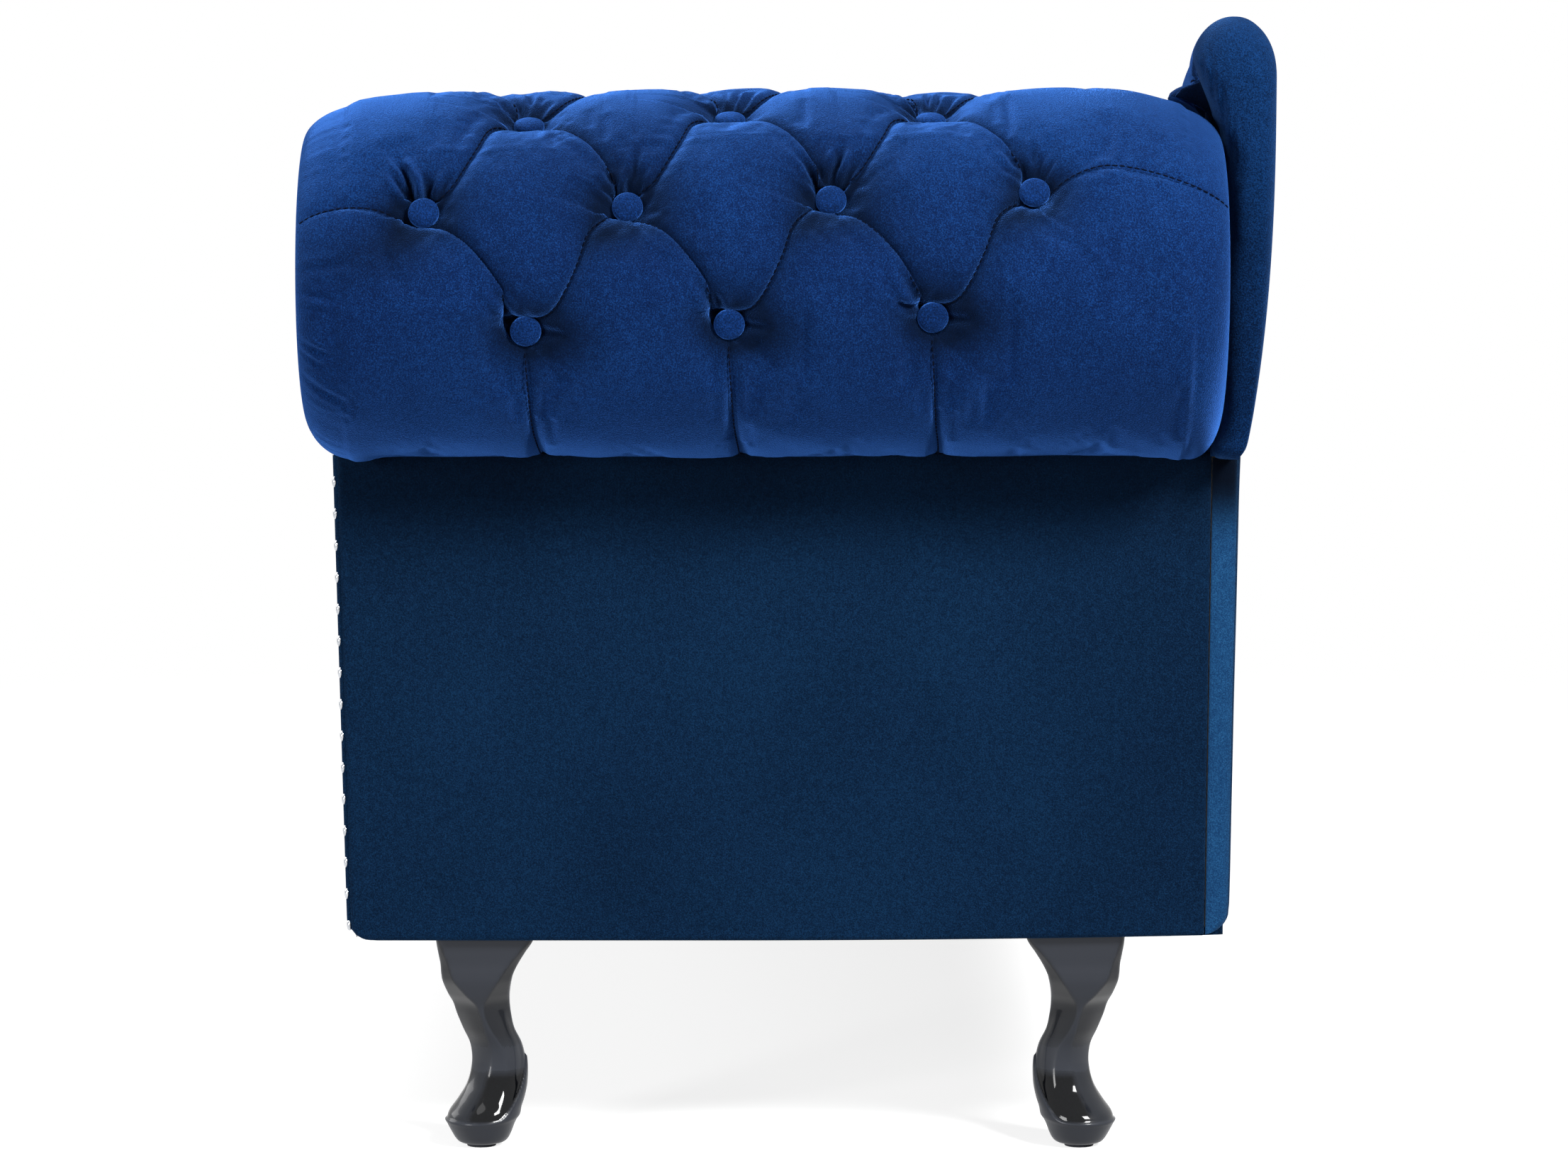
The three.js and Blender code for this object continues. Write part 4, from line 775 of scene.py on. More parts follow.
def corner_round(z, radius):
    """How far a lower corner is rounded in at a height."""
    return radius * quarter_round((Z_PANEL + radius - z) / radius)


def edge_fall(a, low, high, radius):
    """Fall of a padded face beside its two edges, as a quarter round of the given radius."""
    return radius * quarter_round(1 - np.minimum(a - low, high - a) / radius)


def edges(low, high, fine, step, reach=16.0):
    """Stations from low to high, closer together within reach of both ends."""
    ends = (np.arange(fine) / fine) ** 1.6 * reach
    count = max(2, int(round((high - low - 2 * reach) / step)))
    middle = np.linspace(low + reach, high - reach, count + 1)
    return np.concatenate([low + ends, middle, (high - ends)[::-1]])


def cover(name, outer, inner, node_name, material=VELVET_DOWN_SHADED, fill=1.0, step=14):
    return make_piece(name, *closed_shell(outer, inner, step), material, "velvet", [node_name], fill)


def hem_rise(y, z):
    """How much the lower edge of a cover at the arm end climbs towards the rear."""
    return (4.4 * np.clip((y + 50) / 380, 0, 1) ** 2 - 2.6) * np.clip((Z_PANEL + 90 - z) / 90, 0, 1)


def facing_y(z):
    return Y_FACING - 1.8 + lean(z, FRONT_LEAN) + corner_round(z, 14.0)


def arm_outside_cover():
    width, top, seam_z = 636.0, 528.0, 554.5
    t, z = grid_of(edges(0.0, width, 10, 8.0), edges(Z_PANEL, top, 8, 8.0))
    y_low = facing_y(z) + 3.8
    y_high = Y_END_SEAM - 0.4 - lean(z, END_LEAN)
    y = y_low + (y_high - y_low) * t / width
    fall = edge_fall(t, 0, width, 3.6) + edge_fall(z, Z_PANEL, seam_z, 3.0)
    slack = 0.5 * value_noise(y, z * 0.5, 60, 11) + 0.25 * value_noise(y, z * 0.3, 22, 12)
    slack *= smoothstep(z, 380, 520)
    # A tucked pleat where the cover turns round its front lower corner.
    pleat = np.abs((y - y_low) - (z - Z_PANEL) * 0.8 - 2)
    tuck = 1.2 * np.exp(-((pleat / 2.0) ** 2)) * smoothstep(-z, -200, -172)
    x = np.clip(X_PANEL + 1.0 - fall + slack - 0.8 - tuck, X_PANEL_INNER + 0.8, X_PANEL + 0.8)
    over_facing = y < Y_FRAME_FRONT + 0.6
    x = np.where(over_facing, np.maximum(x, X_PANEL - 1.9), x)
    inner_x = np.where(over_facing, X_PANEL - 2.4, X_PANEL_INNER + 0.2)
    z = z + hem_rise(y, z)
    piece = cover("arm_outside_cover", stacked(x, y, z), stacked(inner_x, y, z), "arm_outside_panel")
    # Painted shadow: the colour darkens towards the panel's top, under the overhang of the roll, a little
    # unevenly.
    mark(piece, "fold", 0.65 * smoothstep(z, 440, 520) * (0.8 + 0.2 * value_noise(y, z * 0.5, 70, 61)))


def border_cover(name, node_name, axis, low, high, face, back, lean_amount):
    """A flat covered border, along x at the front or along y at the foot."""
    t, z = grid_of(edges(low, high, 7, 9.0, 10), edges(Z_PANEL, Z_SEAT_PAD - 0.4, 7, 9.0, 10))
    fall = edge_fall(t, low, high, 3.5) + edge_fall(z, Z_PANEL, Z_SEAT_PAD, 3.5)
    depth = fall - 0.5 * value_noise(t, z * 0.4, 50, 21) + 0.6
    turn = 1 if face > back else -1
    a = face - turn * (depth + lean(z, lean_amount))
    placed = lambda d: stacked(t, d, z) if axis == "x" else stacked(d, t, z)
    return cover(name, placed(a), placed(back), node_name)


def arc_xz(radius, angles):
    """Points round the middle of the roll, in x and z."""
    return stacked(ROLL_X + radius * np.cos(angles), ROLL_Z + radius * np.sin(angles))


def scroll_outline(radius, x_outer, z_bottom, step):
    """Outline of the roll and its stem in x and z, anticlockwise from the lower outer corner."""
    start = math.atan2(-math.sqrt(radius**2 - (x_outer - ROLL_X) ** 2), x_outer - ROLL_X)
    arc = arc_xz(radius, np.linspace(start, math.pi, int(radius * (math.pi - start) / step)))
    z0, z1 = z_bottom, arc[0, 1]
    right = [(x_outer, z) for z in np.linspace(z0, z1, int((z1 - z0) / step))[:-1]]
    left = [(ROLL_X - radius, z) for z in np.linspace(ROLL_Z, z0, int((ROLL_Z - z0) / step))[1:]]
    width = x_outer - ROLL_X + radius
    foot = [(x, z0) for x in np.linspace(ROLL_X - radius, x_outer, int(width / step))[1:-1]]
    return np.array(right + arc.tolist() + left + foot)


def domed_facing(name, node_name, outline, face, back, turn):
    """A padded board over an outline in x and z: its face is domed from the edge inwards."""
    steps = [(0.0, 4.4), (0.35, 3.0), (1.2, 1.6), (2.4, 0.7), (4.2, 0.2), (9.0, 0.0), (16.0, 0.5)]
    tangent = np.roll(outline, -1, axis=0) - np.roll(outline, 1, axis=0)
    tangent /= np.linalg.norm(tangent, axis=1)[:, None]
    inward = stacked(-tangent[:, 1], tangent[:, 0])
    rings = [stacked(outline[:, 0], back, outline[:, 1])]
    for reach, behind in steps:
        q = outline + inward * reach
        y = face(outline[:, 1]) + turn * behind
        y = np.minimum(y, back - 0.2) if turn > 0 else np.maximum(y, back + 0.2)
        rings.append(stacked(q[:, 0], y, q[:, 1]))
    return make_piece(name, *closed_rings(rings), VELVET_DOWN_SHADED, "velvet", [node_name], 1.0)


def front_facing():
    outline = scroll_outline(CORE_RADIUS - 0.3, X_PANEL - 2.6, Z_PANEL, 4.0)
    domed_facing("arm_front_cover", "arm_front_facing", outline, facing_y, Y_FRAME_FRONT - 0.4, 1)


def rear_facing():
    radius = CORE_RADIUS - 0.3
    reach = math.acos((X_PANEL + 0.3 - ROLL_X) / radius)
    arc = arc_xz(radius, np.linspace(-reach, reach, 90))
    chord = np.linspace(arc[-1], arc[0], 50)[1:-1]
    outline = np.concatenate([arc, chord])
    face = lambda z: np.full_like(z, Y_ARM_REAR - 0.5)
    domed_facing("arm_rear_cover", "arm_rear_facing", outline, face, Y_BOARD_FRONT + 0.1, -1)


# Back

CREST_LOW, CREST_FOOT, SWEEP_FOOT, SWEEP_HEAD = 556.0, 384.0, -470.0, 707.0
FOOT_ROUND, HEAD_ROUND, DOME_RISE = 170.0, 46.0, 38.0
Z_SOFT_BOTTOM = Z_SEAT_PAD + 0.3
NOSE_LENGTH, NOSE_TUCK = 48.0, 10.0
# Distance between buttons along the inside back, whose upper seam runs so far below the crest.
BACK_PITCH, CREST_SEAM = 146.0, 50.0
# The lip where the cover of the back's end tucks in beside the arm, in y and z, from the fold to the crest.
NOSE_LIP = [(319.0, 520.0), (319.4, 561.0), (323.0, 610.0), (324.0, 654.0), (321.0, 723.0), (320.5, 746.0),
            (313.0, 769.0), (308.0, 786.0), (301.0, 806.0), (296.5, 818.0), (295.0, 860.0)]
# Pleats in that lip, in y and z: start, end, depth and width.
NOSE_PLEATS = [
    ((304, 836), (309, 792), 2.0, 1.7),
    ((299, 830), (304, 800), 1.8, 1.5),
    ((312, 812), (317, 768), 2.0, 1.8),
    ((308, 800), (313, 772), 1.6, 1.4),
    ((322, 786), (323, 744), 1.5, 1.8),
    ((330, 800), (327, 735), 0.9, 3.0),
]
# The inside back's cover starts in a seam under the border roll: distance below the crest and way back.
CREST_BORDER = [(0, 4.3), (38, 4.3), (43, 5.5), (46, 9.0), (48, 9.0), (50, 4.0), (53, -1.5), (57, -5.0),
                (63, -7.5), (90, -8.0), (150, -5.0), (230, 0.0), (500, 0.0)]


def crest_top(x):
    """Height of the crest along the sweep from the foot to the head."""
    sweep = CREST_LOW + (Z_TOP - CREST_LOW) * smoothstep(x, SWEEP_FOOT, SWEEP_HEAD)
    foot = quarter_round((X_BACK_FOOT + FOOT_ROUND - x) / FOOT_ROUND)
    head = quarter_round((x - X_BACK_HEAD + HEAD_ROUND) / HEAD_ROUND)
    return CREST_FOOT + (sweep - CREST_FOOT) * (1 - foot) - HEAD_ROUND * head


def back_fold(x):
    """Height of the fold under the padding of the outside back."""
    return np.clip(crest_top(np.minimum(x, X_PANEL)) - 96, Z_SOFT_BOTTOM, Z_FOLD)


def arm_contact(x, z):
    """Where the rear end of the arm pad meets the back, along y, and far in front beside the arm."""
    over_roll = (z > ROLL_Z) | (x > ROLL_X)
    r = np.where(over_roll, np.hypot(x - ROLL_X, z - ROLL_Z), np.abs(x - ROLL_X))
    over = np.where(over_roll, (1 + (z - ROLL_Z) / np.maximum(r, 1)) / 2, 0.5)
    y = Y_ARM_REAR - (22 + 58 * over) * quarter_round((r - CORE_RADIUS - 1) / (PAD_THICKNESS - 1))
    y = np.where(x < X_PANEL, np.minimum(y, Y_BOARD_FRONT - 0.8), y)
    return np.where(r > ROLL_RADIUS + 0.5, -999.0, y + 0.9)


def back_tufting():
    rows = []
    for n, v in enumerate((104.0, 200.0, 296.0)):
        xs = [478.0 - BACK_PITCH * (k + 0.5 * (n % 2)) for k in range(12)]
        rows.append([(x, v) for x in sorted(xs) if crest_top(x) - v > 470 and x > X_BACK_FOOT + 20])
    tuft = Tufting()
    # The layout is turned over, so that the rows go upwards as the other tufting's do.
    flipped = [[(x, -v) for x, v in row] for row in rows[::-1]]
    add_diamonds(tuft, [row for row in flipped if row], BACK_PITCH, 17)
    for x, v in flipped[-1]:
        tuft.seam([(x, v + 12), (x + 1, v + 35), (x, -49)], 6.0, 1.4, spread=0.3)
    return tuft


def nose_middle(z):
    """Middle line of the end of the back, along y, at a height."""
    return np.interp(z, (526, 540, 560, 600, 650), (329.0, 333.0, 335.6, 337.6, 338.0))


def thinner(x):
    """How much thinner the top of the inside back is away from its head end."""
    return 8.0 * smoothstep(-np.asarray(x, float), -688.0, -560.0)


def back_front(x, z, depth):
    """The inside back's face, along y, under a given depth of tufting."""
    top = crest_top(x)
    shoulder = top - np.minimum(DOME_RISE, (top - Z_SOFT_BOTTOM) / 2)
    rise = np.clip((z - Z_SOFT_BOTTOM) / (shoulder - Z_SOFT_BOTTOM), 0, 1)
    full = 239.2 + 52 * rise**2.2
    full = full + np.interp(top - z, *zip(*CREST_BORDER)) * smoothstep(z, Z_SEAT, Z_SEAT + 60)
    full = full + thinner(x) * (1 - smoothstep(top - z, 40, 160))
    full = full + depth * smoothstep(z, Z_SEAT - 20, Z_SEAT + 30)
    # Nowhere does the cover sink into the board behind it, whose top is 26 mm below the crest.
    return np.where((top - z > 22) & (x < X_PANEL_INNER), np.minimum(full, Y_BOARD_FRONT - 1.2), full)


def back_swelling(tuft, x, z, fronted):
    """Moves of the inside back's cover as cloth, at the points of its fine grid."""
    low, high, foot = (X_BACK_FOOT + 40.0, 0.0), (690.0, 1.0), Z_SEAT - 4.0
    cx, ch = grid_of(between(low[0], high[0], 8.0), np.linspace(0.0, 1.0, 58))
    cz = foot + (crest_top(cx) - CREST_SEAM - foot) * ch
    cv = cz - crest_top(cx)
    held = sewn_down(tuft, cx, cv, 7.0) | (cz < Z_SEAT)
    # The columns run downwards here, so that the cloth swells to the front.
    sewn = stacked(cx, back_front(cx, cz, tuft.depth(cx, cv)), cz)
    moves = blown_up(sewn[:, ::-1], held[:, ::-1], 7.0)[:, ::-1]
    share = (z - foot) / np.maximum(crest_top(x) - CREST_SEAM - foot, 1.0)
    inside = (fronted > 0.9) & (share > 0) & (share < 1) & (x > low[0]) & (x < high[0])
    return spread_over(moves, low, high, x, share) * inside[..., None]


def closed_back(outer, under):
    """Points and faces of the back's cover, closed by two lines of points under it and at both ends."""
    rows, columns = outer.shape[:2]
    faces = grid_faces(rows, columns)
    s = rows * columns
    for i in range(rows - 1):
        a, b = i * columns, (i + 1) * columns
        faces.append([a + columns - 1, b + columns - 1, s + i + 1, s + i])
        faces.append([s + i, s + i + 1, s + rows + i + 1, s + rows + i])
        faces.append([s + rows + i, s + rows + i + 1, b, a])
    faces.append(list(range(columns))[::-1] + [s + rows, s])
    # The tip of the nose is a narrow strip, closed from the bottom upwards.
    e, z = (rows - 1) * columns, outer[-1, :, 2]
    i, j, highest = 0, columns - 1, int(np.argmax(z))
    faces.append([e + j, s + rows - 1, s + 2 * rows - 1, e])
    while i < highest or j > highest + 1:
        if j <= highest + 1 or (i < highest and z[i + 1] <= z[j - 1]):
            faces.append([e + i, e + i + 1, e + j])
            i += 1
        else:
            faces.append([e + i, e + j - 1, e + j])
            j -= 1
    return np.concatenate([outer.reshape(-1, 3), under]), faces


def back_cover():
    """The back's cover: tufted inside, dome of the crest, padded outside and the nose at the head end."""
    quarter = np.linspace(0, math.pi / 2, 40)
    foot = X_BACK_FOOT + FOOT_ROUND * (1 - np.cos(quarter))
    nose = X_PANEL + NOSE_LENGTH * np.sin(quarter)[1:]
    beside_arm = [699.4, 699.6, 700.2, 700.9, 701.5, 702.2, 703.3, X_PANEL]
    even, closer = np.arange(foot[-1], 672, 4.2), np.arange(674, 699, 1.6)
    xs = np.concatenate([foot[:-1], even, closer, beside_arm, nose])
    past = np.clip((xs - X_PANEL) / NOSE_LENGTH, 0, 1)
    front = np.concatenate([np.linspace(0, 0.86, 100), np.linspace(0.86, 1, 56)[1:]])
    dome = np.linspace(0, math.pi, 44)[1:]
    rear = 1 - np.linspace(0, 1, 80)[1:] ** 0.8
    top, fold = crest_top(xs), back_fold(xs)
    bottom = np.where(xs > 699.5, Z_FOLD + 0.3, Z_SOFT_BOTTOM)
    rise = np.minimum(DOME_RISE, (top - Z_SOFT_BOTTOM) / 2)
    shoulder = top - rise
    bulge = 22.5 * np.minimum(1, (top - fold) / 192.0)
    x = np.repeat(xs[:, None], len(front) + len(dome) + len(rear), axis=1)
    zf = bottom[:, None] + (shoulder - bottom)[:, None] * front
    yf = back_front(xs[:, None], zf, 0.0)
    y_front, y_rear = 295.5 + thinner(xs)[:, None], (Y_REAR_PANEL + 1.5 + bulge)[:, None]
    zd = shoulder[:, None] + rise[:, None] * np.sin(dome)
    yd = (y_front + y_rear) / 2 - (y_rear - y_front) / 2 * np.cos(dome)
    zr = fold[:, None] + (shoulder - fold)[:, None] * rear
    yr = Y_REAR_PANEL + 1.5 + bulge[:, None] * (1 - (1 - rear) ** 2.7)
    y, z = np.concatenate([yf, yd, yr], axis=1), np.concatenate([zf, zd, zr], axis=1)
    below_crest = [top[:, None] - zf, rise[:, None] * (1 - np.sin(dome)), np.zeros_like(zr)]
    v = -np.concatenate(below_crest, axis=1)
    # 1 on the inside back, falling over the dome to 0 on the outside back.
    over_dome = np.repeat((0.5 + 0.5 * np.cos(dome))[None], len(xs), axis=0)
    fronted = np.concatenate([np.ones_like(yf), over_dome, np.zeros_like(yr)], axis=1)
    tuft = back_tufting()
    inside = 1 - smoothstep(x, 700, 702.5)
    shown = fronted * smoothstep(z, Z_SEAT - 20, Z_SEAT + 30) * inside
    depth = (tuft.depth(x, v) + 1.5 * value_noise(x, v, 80, 31)) * shown
    y = y + depth
    moved = back_swelling(tuft, x, z, fronted)
    x, y, z = x + moved[..., 0], y + moved[..., 1], z + moved[..., 2]
    over_board = (fronted > 0.5) & (x < X_PANEL_INNER) & (crest_top(x) - z > 24)
    y = np.where(over_board, np.minimum(y, Y_BOARD_FRONT - 1.0), y)
    # The inside back ends in a seam beside the end of the roll, whose cover tucks in behind a lip.
    lip_y, lip_z = zip(*NOSE_LIP)
    lip = np.interp(z, lip_z, lip_y) + 1.2 * value_noise(z, 5, 26, 33)
    front_part = smoothstep(fronted, 0.2, 0.9) * (1 - inside)
    y = y + np.clip(lip - y, 0, 60) * front_part + 3.0 * inside * fronted * smoothstep(x, 694, 700)
    # The fold at the foot of the outside back is drawn in.
    above = np.concatenate([np.full_like(yf, 99.0), np.full_like(yd, 99.0), zr - fold[:, None]], axis=1)
    y = y - 4.0 * np.exp(-above / 4.0) - 3.0 * np.clip(1 - above / 9, 0, 1) ** 2 * smoothstep(x, 660, 704)
    y = np.maximum(y, np.where(fronted > 0.3, arm_contact(x, z), -999.0))
    # The end of the back is a soft upright nose with a rounded lower end.
    low = np.clip((Z_FOLD + 11 - z) / 11, 0, 1) ** 2
    p = past[:, None]
    round_end = (1 - p**3.6) ** (1 / 3.0) * (1 - 0.4 * low * np.minimum(1, p * 4))
    middle = nose_middle(z)
    y = middle + (y - middle) * np.where(p > 0, round_end + 0.02, 1)
    x = x - p * NOSE_TUCK * low
    pleats = sum(creased(y, z, np.array(a, float), np.array(b, float), d, w) for a, b, d, w in NOSE_PLEATS)
    x = x - pleats * smoothstep(p, 0.15, 0.6)
    mid = np.where(xs > X_PANEL, nose_middle(Z_FOLD), (Y_BOARD_FRONT + Y_BOARD_REAR) / 2)
    under = np.concatenate([stacked(xs - past * NOSE_TUCK, mid, level) for level in (fold, bottom)])
    points, faces = closed_back(stacked(x, y, z), under)
    piece = make_piece("back_cover", points, faces, VELVET, "velvet", ["back_pad"], 0.8)
    # The nose is drawn in a darker copy of the velvet: painted shade.
    second_material(piece, VELVET_NOSE_SHADED, 702.6)
    # Painted shade: darker in the seams and dimples, on the nose's end face beside the lip, and on the crest's
    # front towards its top beside and behind the arm, where the recesses lie in shadow.
    on_nose = smoothstep(x, 699.5, 701.5) * (1 - smoothstep(x, 706, 712))
    end_face_shade = on_nose * (y < lip + 3) * smoothstep(z, 700, 760)
    shaded = np.maximum(smoothstep(x, 600, 690) * smoothstep(z, 720, 770),
                        smoothstep(x, 420, 600) * smoothstep(z, 755, 785))
    shade_behind_arm = 0.8 * (x < 702) * (fronted > 0.15) * shaded
    mark(piece, "fold", np.maximum.reduce([0.92 * smoothstep(depth, 1.5, 17.0), 0.9 * end_face_shade, shade_behind_arm]))
    return tuft


def back_outside_cover():
    """The outside back, which turns round the corner onto the arm end as a narrow strip."""
    radius = 10.0
    x_turn, y_turn = X_PANEL - radius, Y_REAR_PANEL - radius
    along = edges(X_FOOT_PANEL, X_PANEL, 7, 11.0, 10)[:-7]
    turn = np.linspace(0, math.pi / 2, 9)
    path = [(x0, Y_REAR_PANEL) for x0 in along if x0 < x_turn]
    path += [(x_turn + radius * math.sin(a), y_turn + radius * math.cos(a)) for a in turn]
    path += [(X_PANEL, y0) for y0 in np.linspace(y_turn, Y_END_SEAM, 9)[1:]]
    path = np.array(path)
    hs = np.concatenate([(np.arange(8) / 8) ** 1.5 * 0.04, np.linspace(0.04, 1, 40)])
    x, h = grid_of(path[:, 0], hs)
    y0 = np.repeat(path[:, 1][:, None], len(hs), axis=1)
    z = Z_PANEL + (back_fold(x) - 1.5 - Z_PANEL) * h
    rearness = np.clip((y0 - Y_END_SEAM) / (Y_REAR_PANEL - Y_END_SEAM), 0, 1)
    drawn_in = lean(z, REAR_LEAN) - 2.4 + corner_round(z, 19.0)
    y = y0 - drawn_in * rearness - lean(z, END_LEAN) * (1 - rearness)
    fall = edge_fall(z, Z_PANEL, 900, 2.5)
    side = x >= X_PANEL - 0.01
    hollow = 2.2 * (np.abs(y0 - (Y_REAR_PANEL + Y_END_SEAM) / 2 + 4) / 9.0) ** 2
    x = x - np.where(side, fall + np.minimum(hollow, 2.4), 0)
    y = y - np.where(side, 0, fall - 0.6 * value_noise(x, z, 70, 41))
    z = z + hem_rise(y0, z)
    y_back = Y_BOARD_REAR + 0.4
    inner_y = np.where(x > X_PANEL_INNER, np.minimum(y0, y_back), y_back)
    inner = stacked(np.minimum(x, X_PANEL_INNER + 0.3), inner_y, z)
    piece = cover("back_outside_cover", stacked(x, y, z), inner, "back_outside_panel", step=5)
    # Painted shade on the strip at the arm end: darker towards its top, under the roll, and towards its rear
    # edge.
    at_end = smoothstep(x, X_PANEL - 8, X_PANEL - 2)
    mark(piece, "fold", at_end * np.maximum(smoothstep(z, 455, 505), 0.55 * smoothstep(y, 336, 350)))
    # The strip is drawn in a lighter copy of the velvet: painted light.
    second_material(piece, VELVET_SIDE_LIT, X_PANEL - 4)


# Seat

Y_SEAT_FRONT, Y_SEAT_REAR, X_SEAT_HEAD, Z_SEAT_LOWEST = -345.0, 237.7, 572.5, Z_SEAT - 36
FREE_EDGE, TUCKED_EDGE = 26.0, 14.0
SEAT_CENTRE, SEAT_PITCH = -138.0, 190.0


def seat_tufting():
    rows = []
    for n, v in enumerate((-247.9, -117.9, 12.1, 142.1)):
        count = 7 if n % 2 == 0 else 6
        rows.append([(SEAT_CENTRE + SEAT_PITCH * (k - (count - 1) / 2), v) for k in range(count)])
    tuft = Tufting(dimple_depth=16.0)
    add_diamonds(tuft, rows, SEAT_PITCH, 23)
    for row, way in ((rows[0], -1), (rows[-1], 1)):
        for spot in row:
            tuft.seam(beside(spot, [(0, 12 * way), (1, 60 * way), (0, 120 * way)]), 5.0, 1.2, spread=0.3)
    return tuft


def seat_point(x, y, depth):
    """A point of the seat's flat part under a depth of tufting, which the cover follows by nine tenths."""
    return stacked(x, y, np.maximum(Z_SEAT - 0.9 * depth, Z_SEAT_LOWEST))


def seat_cover():
    x_low, x_high, y_low, y_high = X_FOOT, X_SEAT_HEAD, Y_SEAT_FRONT, Y_SEAT_REAR
    ends = 1 - np.cos(np.linspace(0, math.pi / 2, 12))
    stations = lambda low, high: np.concatenate([low + FREE_EDGE * ends, np.arange(low + 30, high - 18, 4.0),
                                                 (high - TUCKED_EDGE * ends)[::-1]])
    x, y = grid_of(stations(x_low, x_high), stations(y_low, y_high))
    tuft = seat_tufting()
    depth, du, dv = tuft.relief(x, y)
    depth = depth * 0.9 + 1.5 * value_noise(x, y, 110, 51)
    fall = lambda d, r: r * quarter_round(1 - d / r)
    drop = (fall(x - x_low, FREE_EDGE) + fall(y - y_low, FREE_EDGE)
            + fall(x_high - x, TUCKED_EDGE) + fall(y_high - y, TUCKED_EDGE))
    keep = smoothstep(x - x_low, 0, 30) * smoothstep(y - y_low, 0, 30)
    z = np.maximum(Z_SEAT - drop - depth * keep, Z_SEAT_LOWEST)
    low, high = (x_low + 30.0, y_low + 30.0), (x_high - 18.0, y_high - 18.0)
    outer = stacked(x + du * keep, y + dv * keep, z) + swelling(tuft, seat_point, low, high, 8.0, 7.0, x, y)
    # The walls under the rounded edge draw in to the border below.
    inner = stacked(np.clip(x, x_low + 9, x_high), np.clip(y, y_low + 9, y_high), Z_SEAT_PAD + 0.2)
    piece = cover("seat_cover", outer, inner, "seat_pad", VELVET, 0.8)
    # Painted shade: darker in the seams and dimples.
    mark(piece, "fold", 0.9 * smoothstep(depth, 1.5, 16.0))
    return tuft


# Legs

# Height, width, way outwards of the middle, chamfer as a share of half the width, roundness.
LEG_PROFILE = [
    (169.0, 76.0, -2.0, 0.06, 0.0),
    (160.0, 72.3, -0.6, 0.1, 0.0),
    (151.5, 65.5, 1.6, 0.16, 0.0),
    (142.4, 58.6, 3.6, 0.24, 0.0),
    (135.0, 54.6, 5.2, 0.32, 0.0),
    (128.0, 51.4, 5.8, 0.42, 0.0),
    (118.0, 46.5, 5.0, 0.66, 0.03),
    (109.5, 42.8, 3.2, 0.9, 0.08),
    (100.5, 41.6, 1.2, 0.96, 0.18),
    (89.0, 40.0, -2.4, 0.9, 0.3),
    (76.0, 40.4, -7.8, 0.8, 0.4),
    (62.0, 42.4, -9.6, 0.72, 0.5),
    (47.0, 46.8, -7.4, 0.66, 0.7),
    (36.0, 51.8, -3.0, 0.6, 0.9),
    (27.8, 56.2, 1.4, 0.6, 1.0),
    (22.8, 57.2, 2.7, 0.6, 1.0),
    (20.8, 56.0, 3.0, 0.6, 1.0),
    (19.2, 53.6, 3.2, 0.6, 1.0),
    (15.6, 49.8, 3.4, 0.6, 1.0),
    (10.8, 45.4, 3.3, 0.6, 1.0),
    (6.8, 41.2, 3.2, 0.6, 1.0),
    (4.2, 37.0, 3.2, 0.6, 1.0),
    (3.0, 33.0, 3.2, 0.6, 1.0),
]


def leg(corner, x, y, out_x, out_y):
    """One cabriole leg: a square knee with chamfered edges, a round ankle and a slipper foot whose rim climbs
    the inner side."""
    # Chamfer and roundness are scaled up, so that the curve's steps follow them too.
    scale = np.array([1, 1, 1, 20, 20])
    profile = curve_through(np.array(LEG_PROFILE) * scale, 1.3) / scale
    angles = np.linspace(0, 2 * math.pi, 144, endpoint=False)
    c, s = np.cos(angles), np.sin(angles)
    rings, satin = [], []
    for z, width, shift, chamfer, roundness in profile:
        half, chamfer, roundness = width / 2, np.clip(chamfer, 0, 1), np.clip(roundness, 0, 1)
        flat = half / np.maximum(np.abs(c), np.abs(s))
        slant = (2 * half - half * chamfer) / (np.abs(c) + np.abs(s))
        # The nearer of both, with the arris between them rubbed down.
        soft = -0.5 * np.log(np.exp(-(flat - half) / 0.5) + np.exp(-(slant - half) / 0.5)) + half
        radius = (1 - roundness) * soft + roundness * half
        toward = (c * out_x + s * out_y) / 1.41421
        rim = math.exp(-(((z - 23) / 11) ** 2))
        lift = rim * (2.6 - 2.4 * toward)
        inner = np.clip(np.maximum(-c * out_x, -s * out_y), 0, 1)
        over_rim = z + lift - 22.4 - 44.0 * inner**5
        radius = radius - 1.5 * smoothstep(over_rim, 0.0, 1.8) * (1 - smoothstep(over_rim, 14, 48))
        ring_x, ring_y = x + radius * c + shift * out_x, y + radius * s + shift * out_y
        rings.append(stacked(ring_x, ring_y, z + lift - 2 * rim))
        # The share written here sets the colour too: charcoal on the knee and shank as painted sheen, near
        # black on the instep and partly along the knee's arrises.
        instep = smoothstep(over_rim, 0.4, 2.4) * (1 - smoothstep(z, 52, 60))
        gloss = instep * (1 - 0.7 * smoothstep(toward, 0.86, 0.98))
        edge = smoothstep(flat - slant, 0.0, 2.0) * smoothstep(z, 70, 90) * 0.6
        satin.append(1 - np.maximum(gloss, edge))
    piece = make_piece("cabriole_leg_" + corner, *closed_rings(rings), LACQUER, "leg_wood", ["leg_" + corner])
    mark(piece, "satin", np.concatenate(satin))


# What repeats: nails, buttons and stitches

NAIL_PITCH, STITCH_PITCH = 0.024, 0.0052
NAIL_SIZE, BUTTON_SIZE = (0.0046, 0.0022, 0.0046), (0.0112, 0.0112, 0.0052)
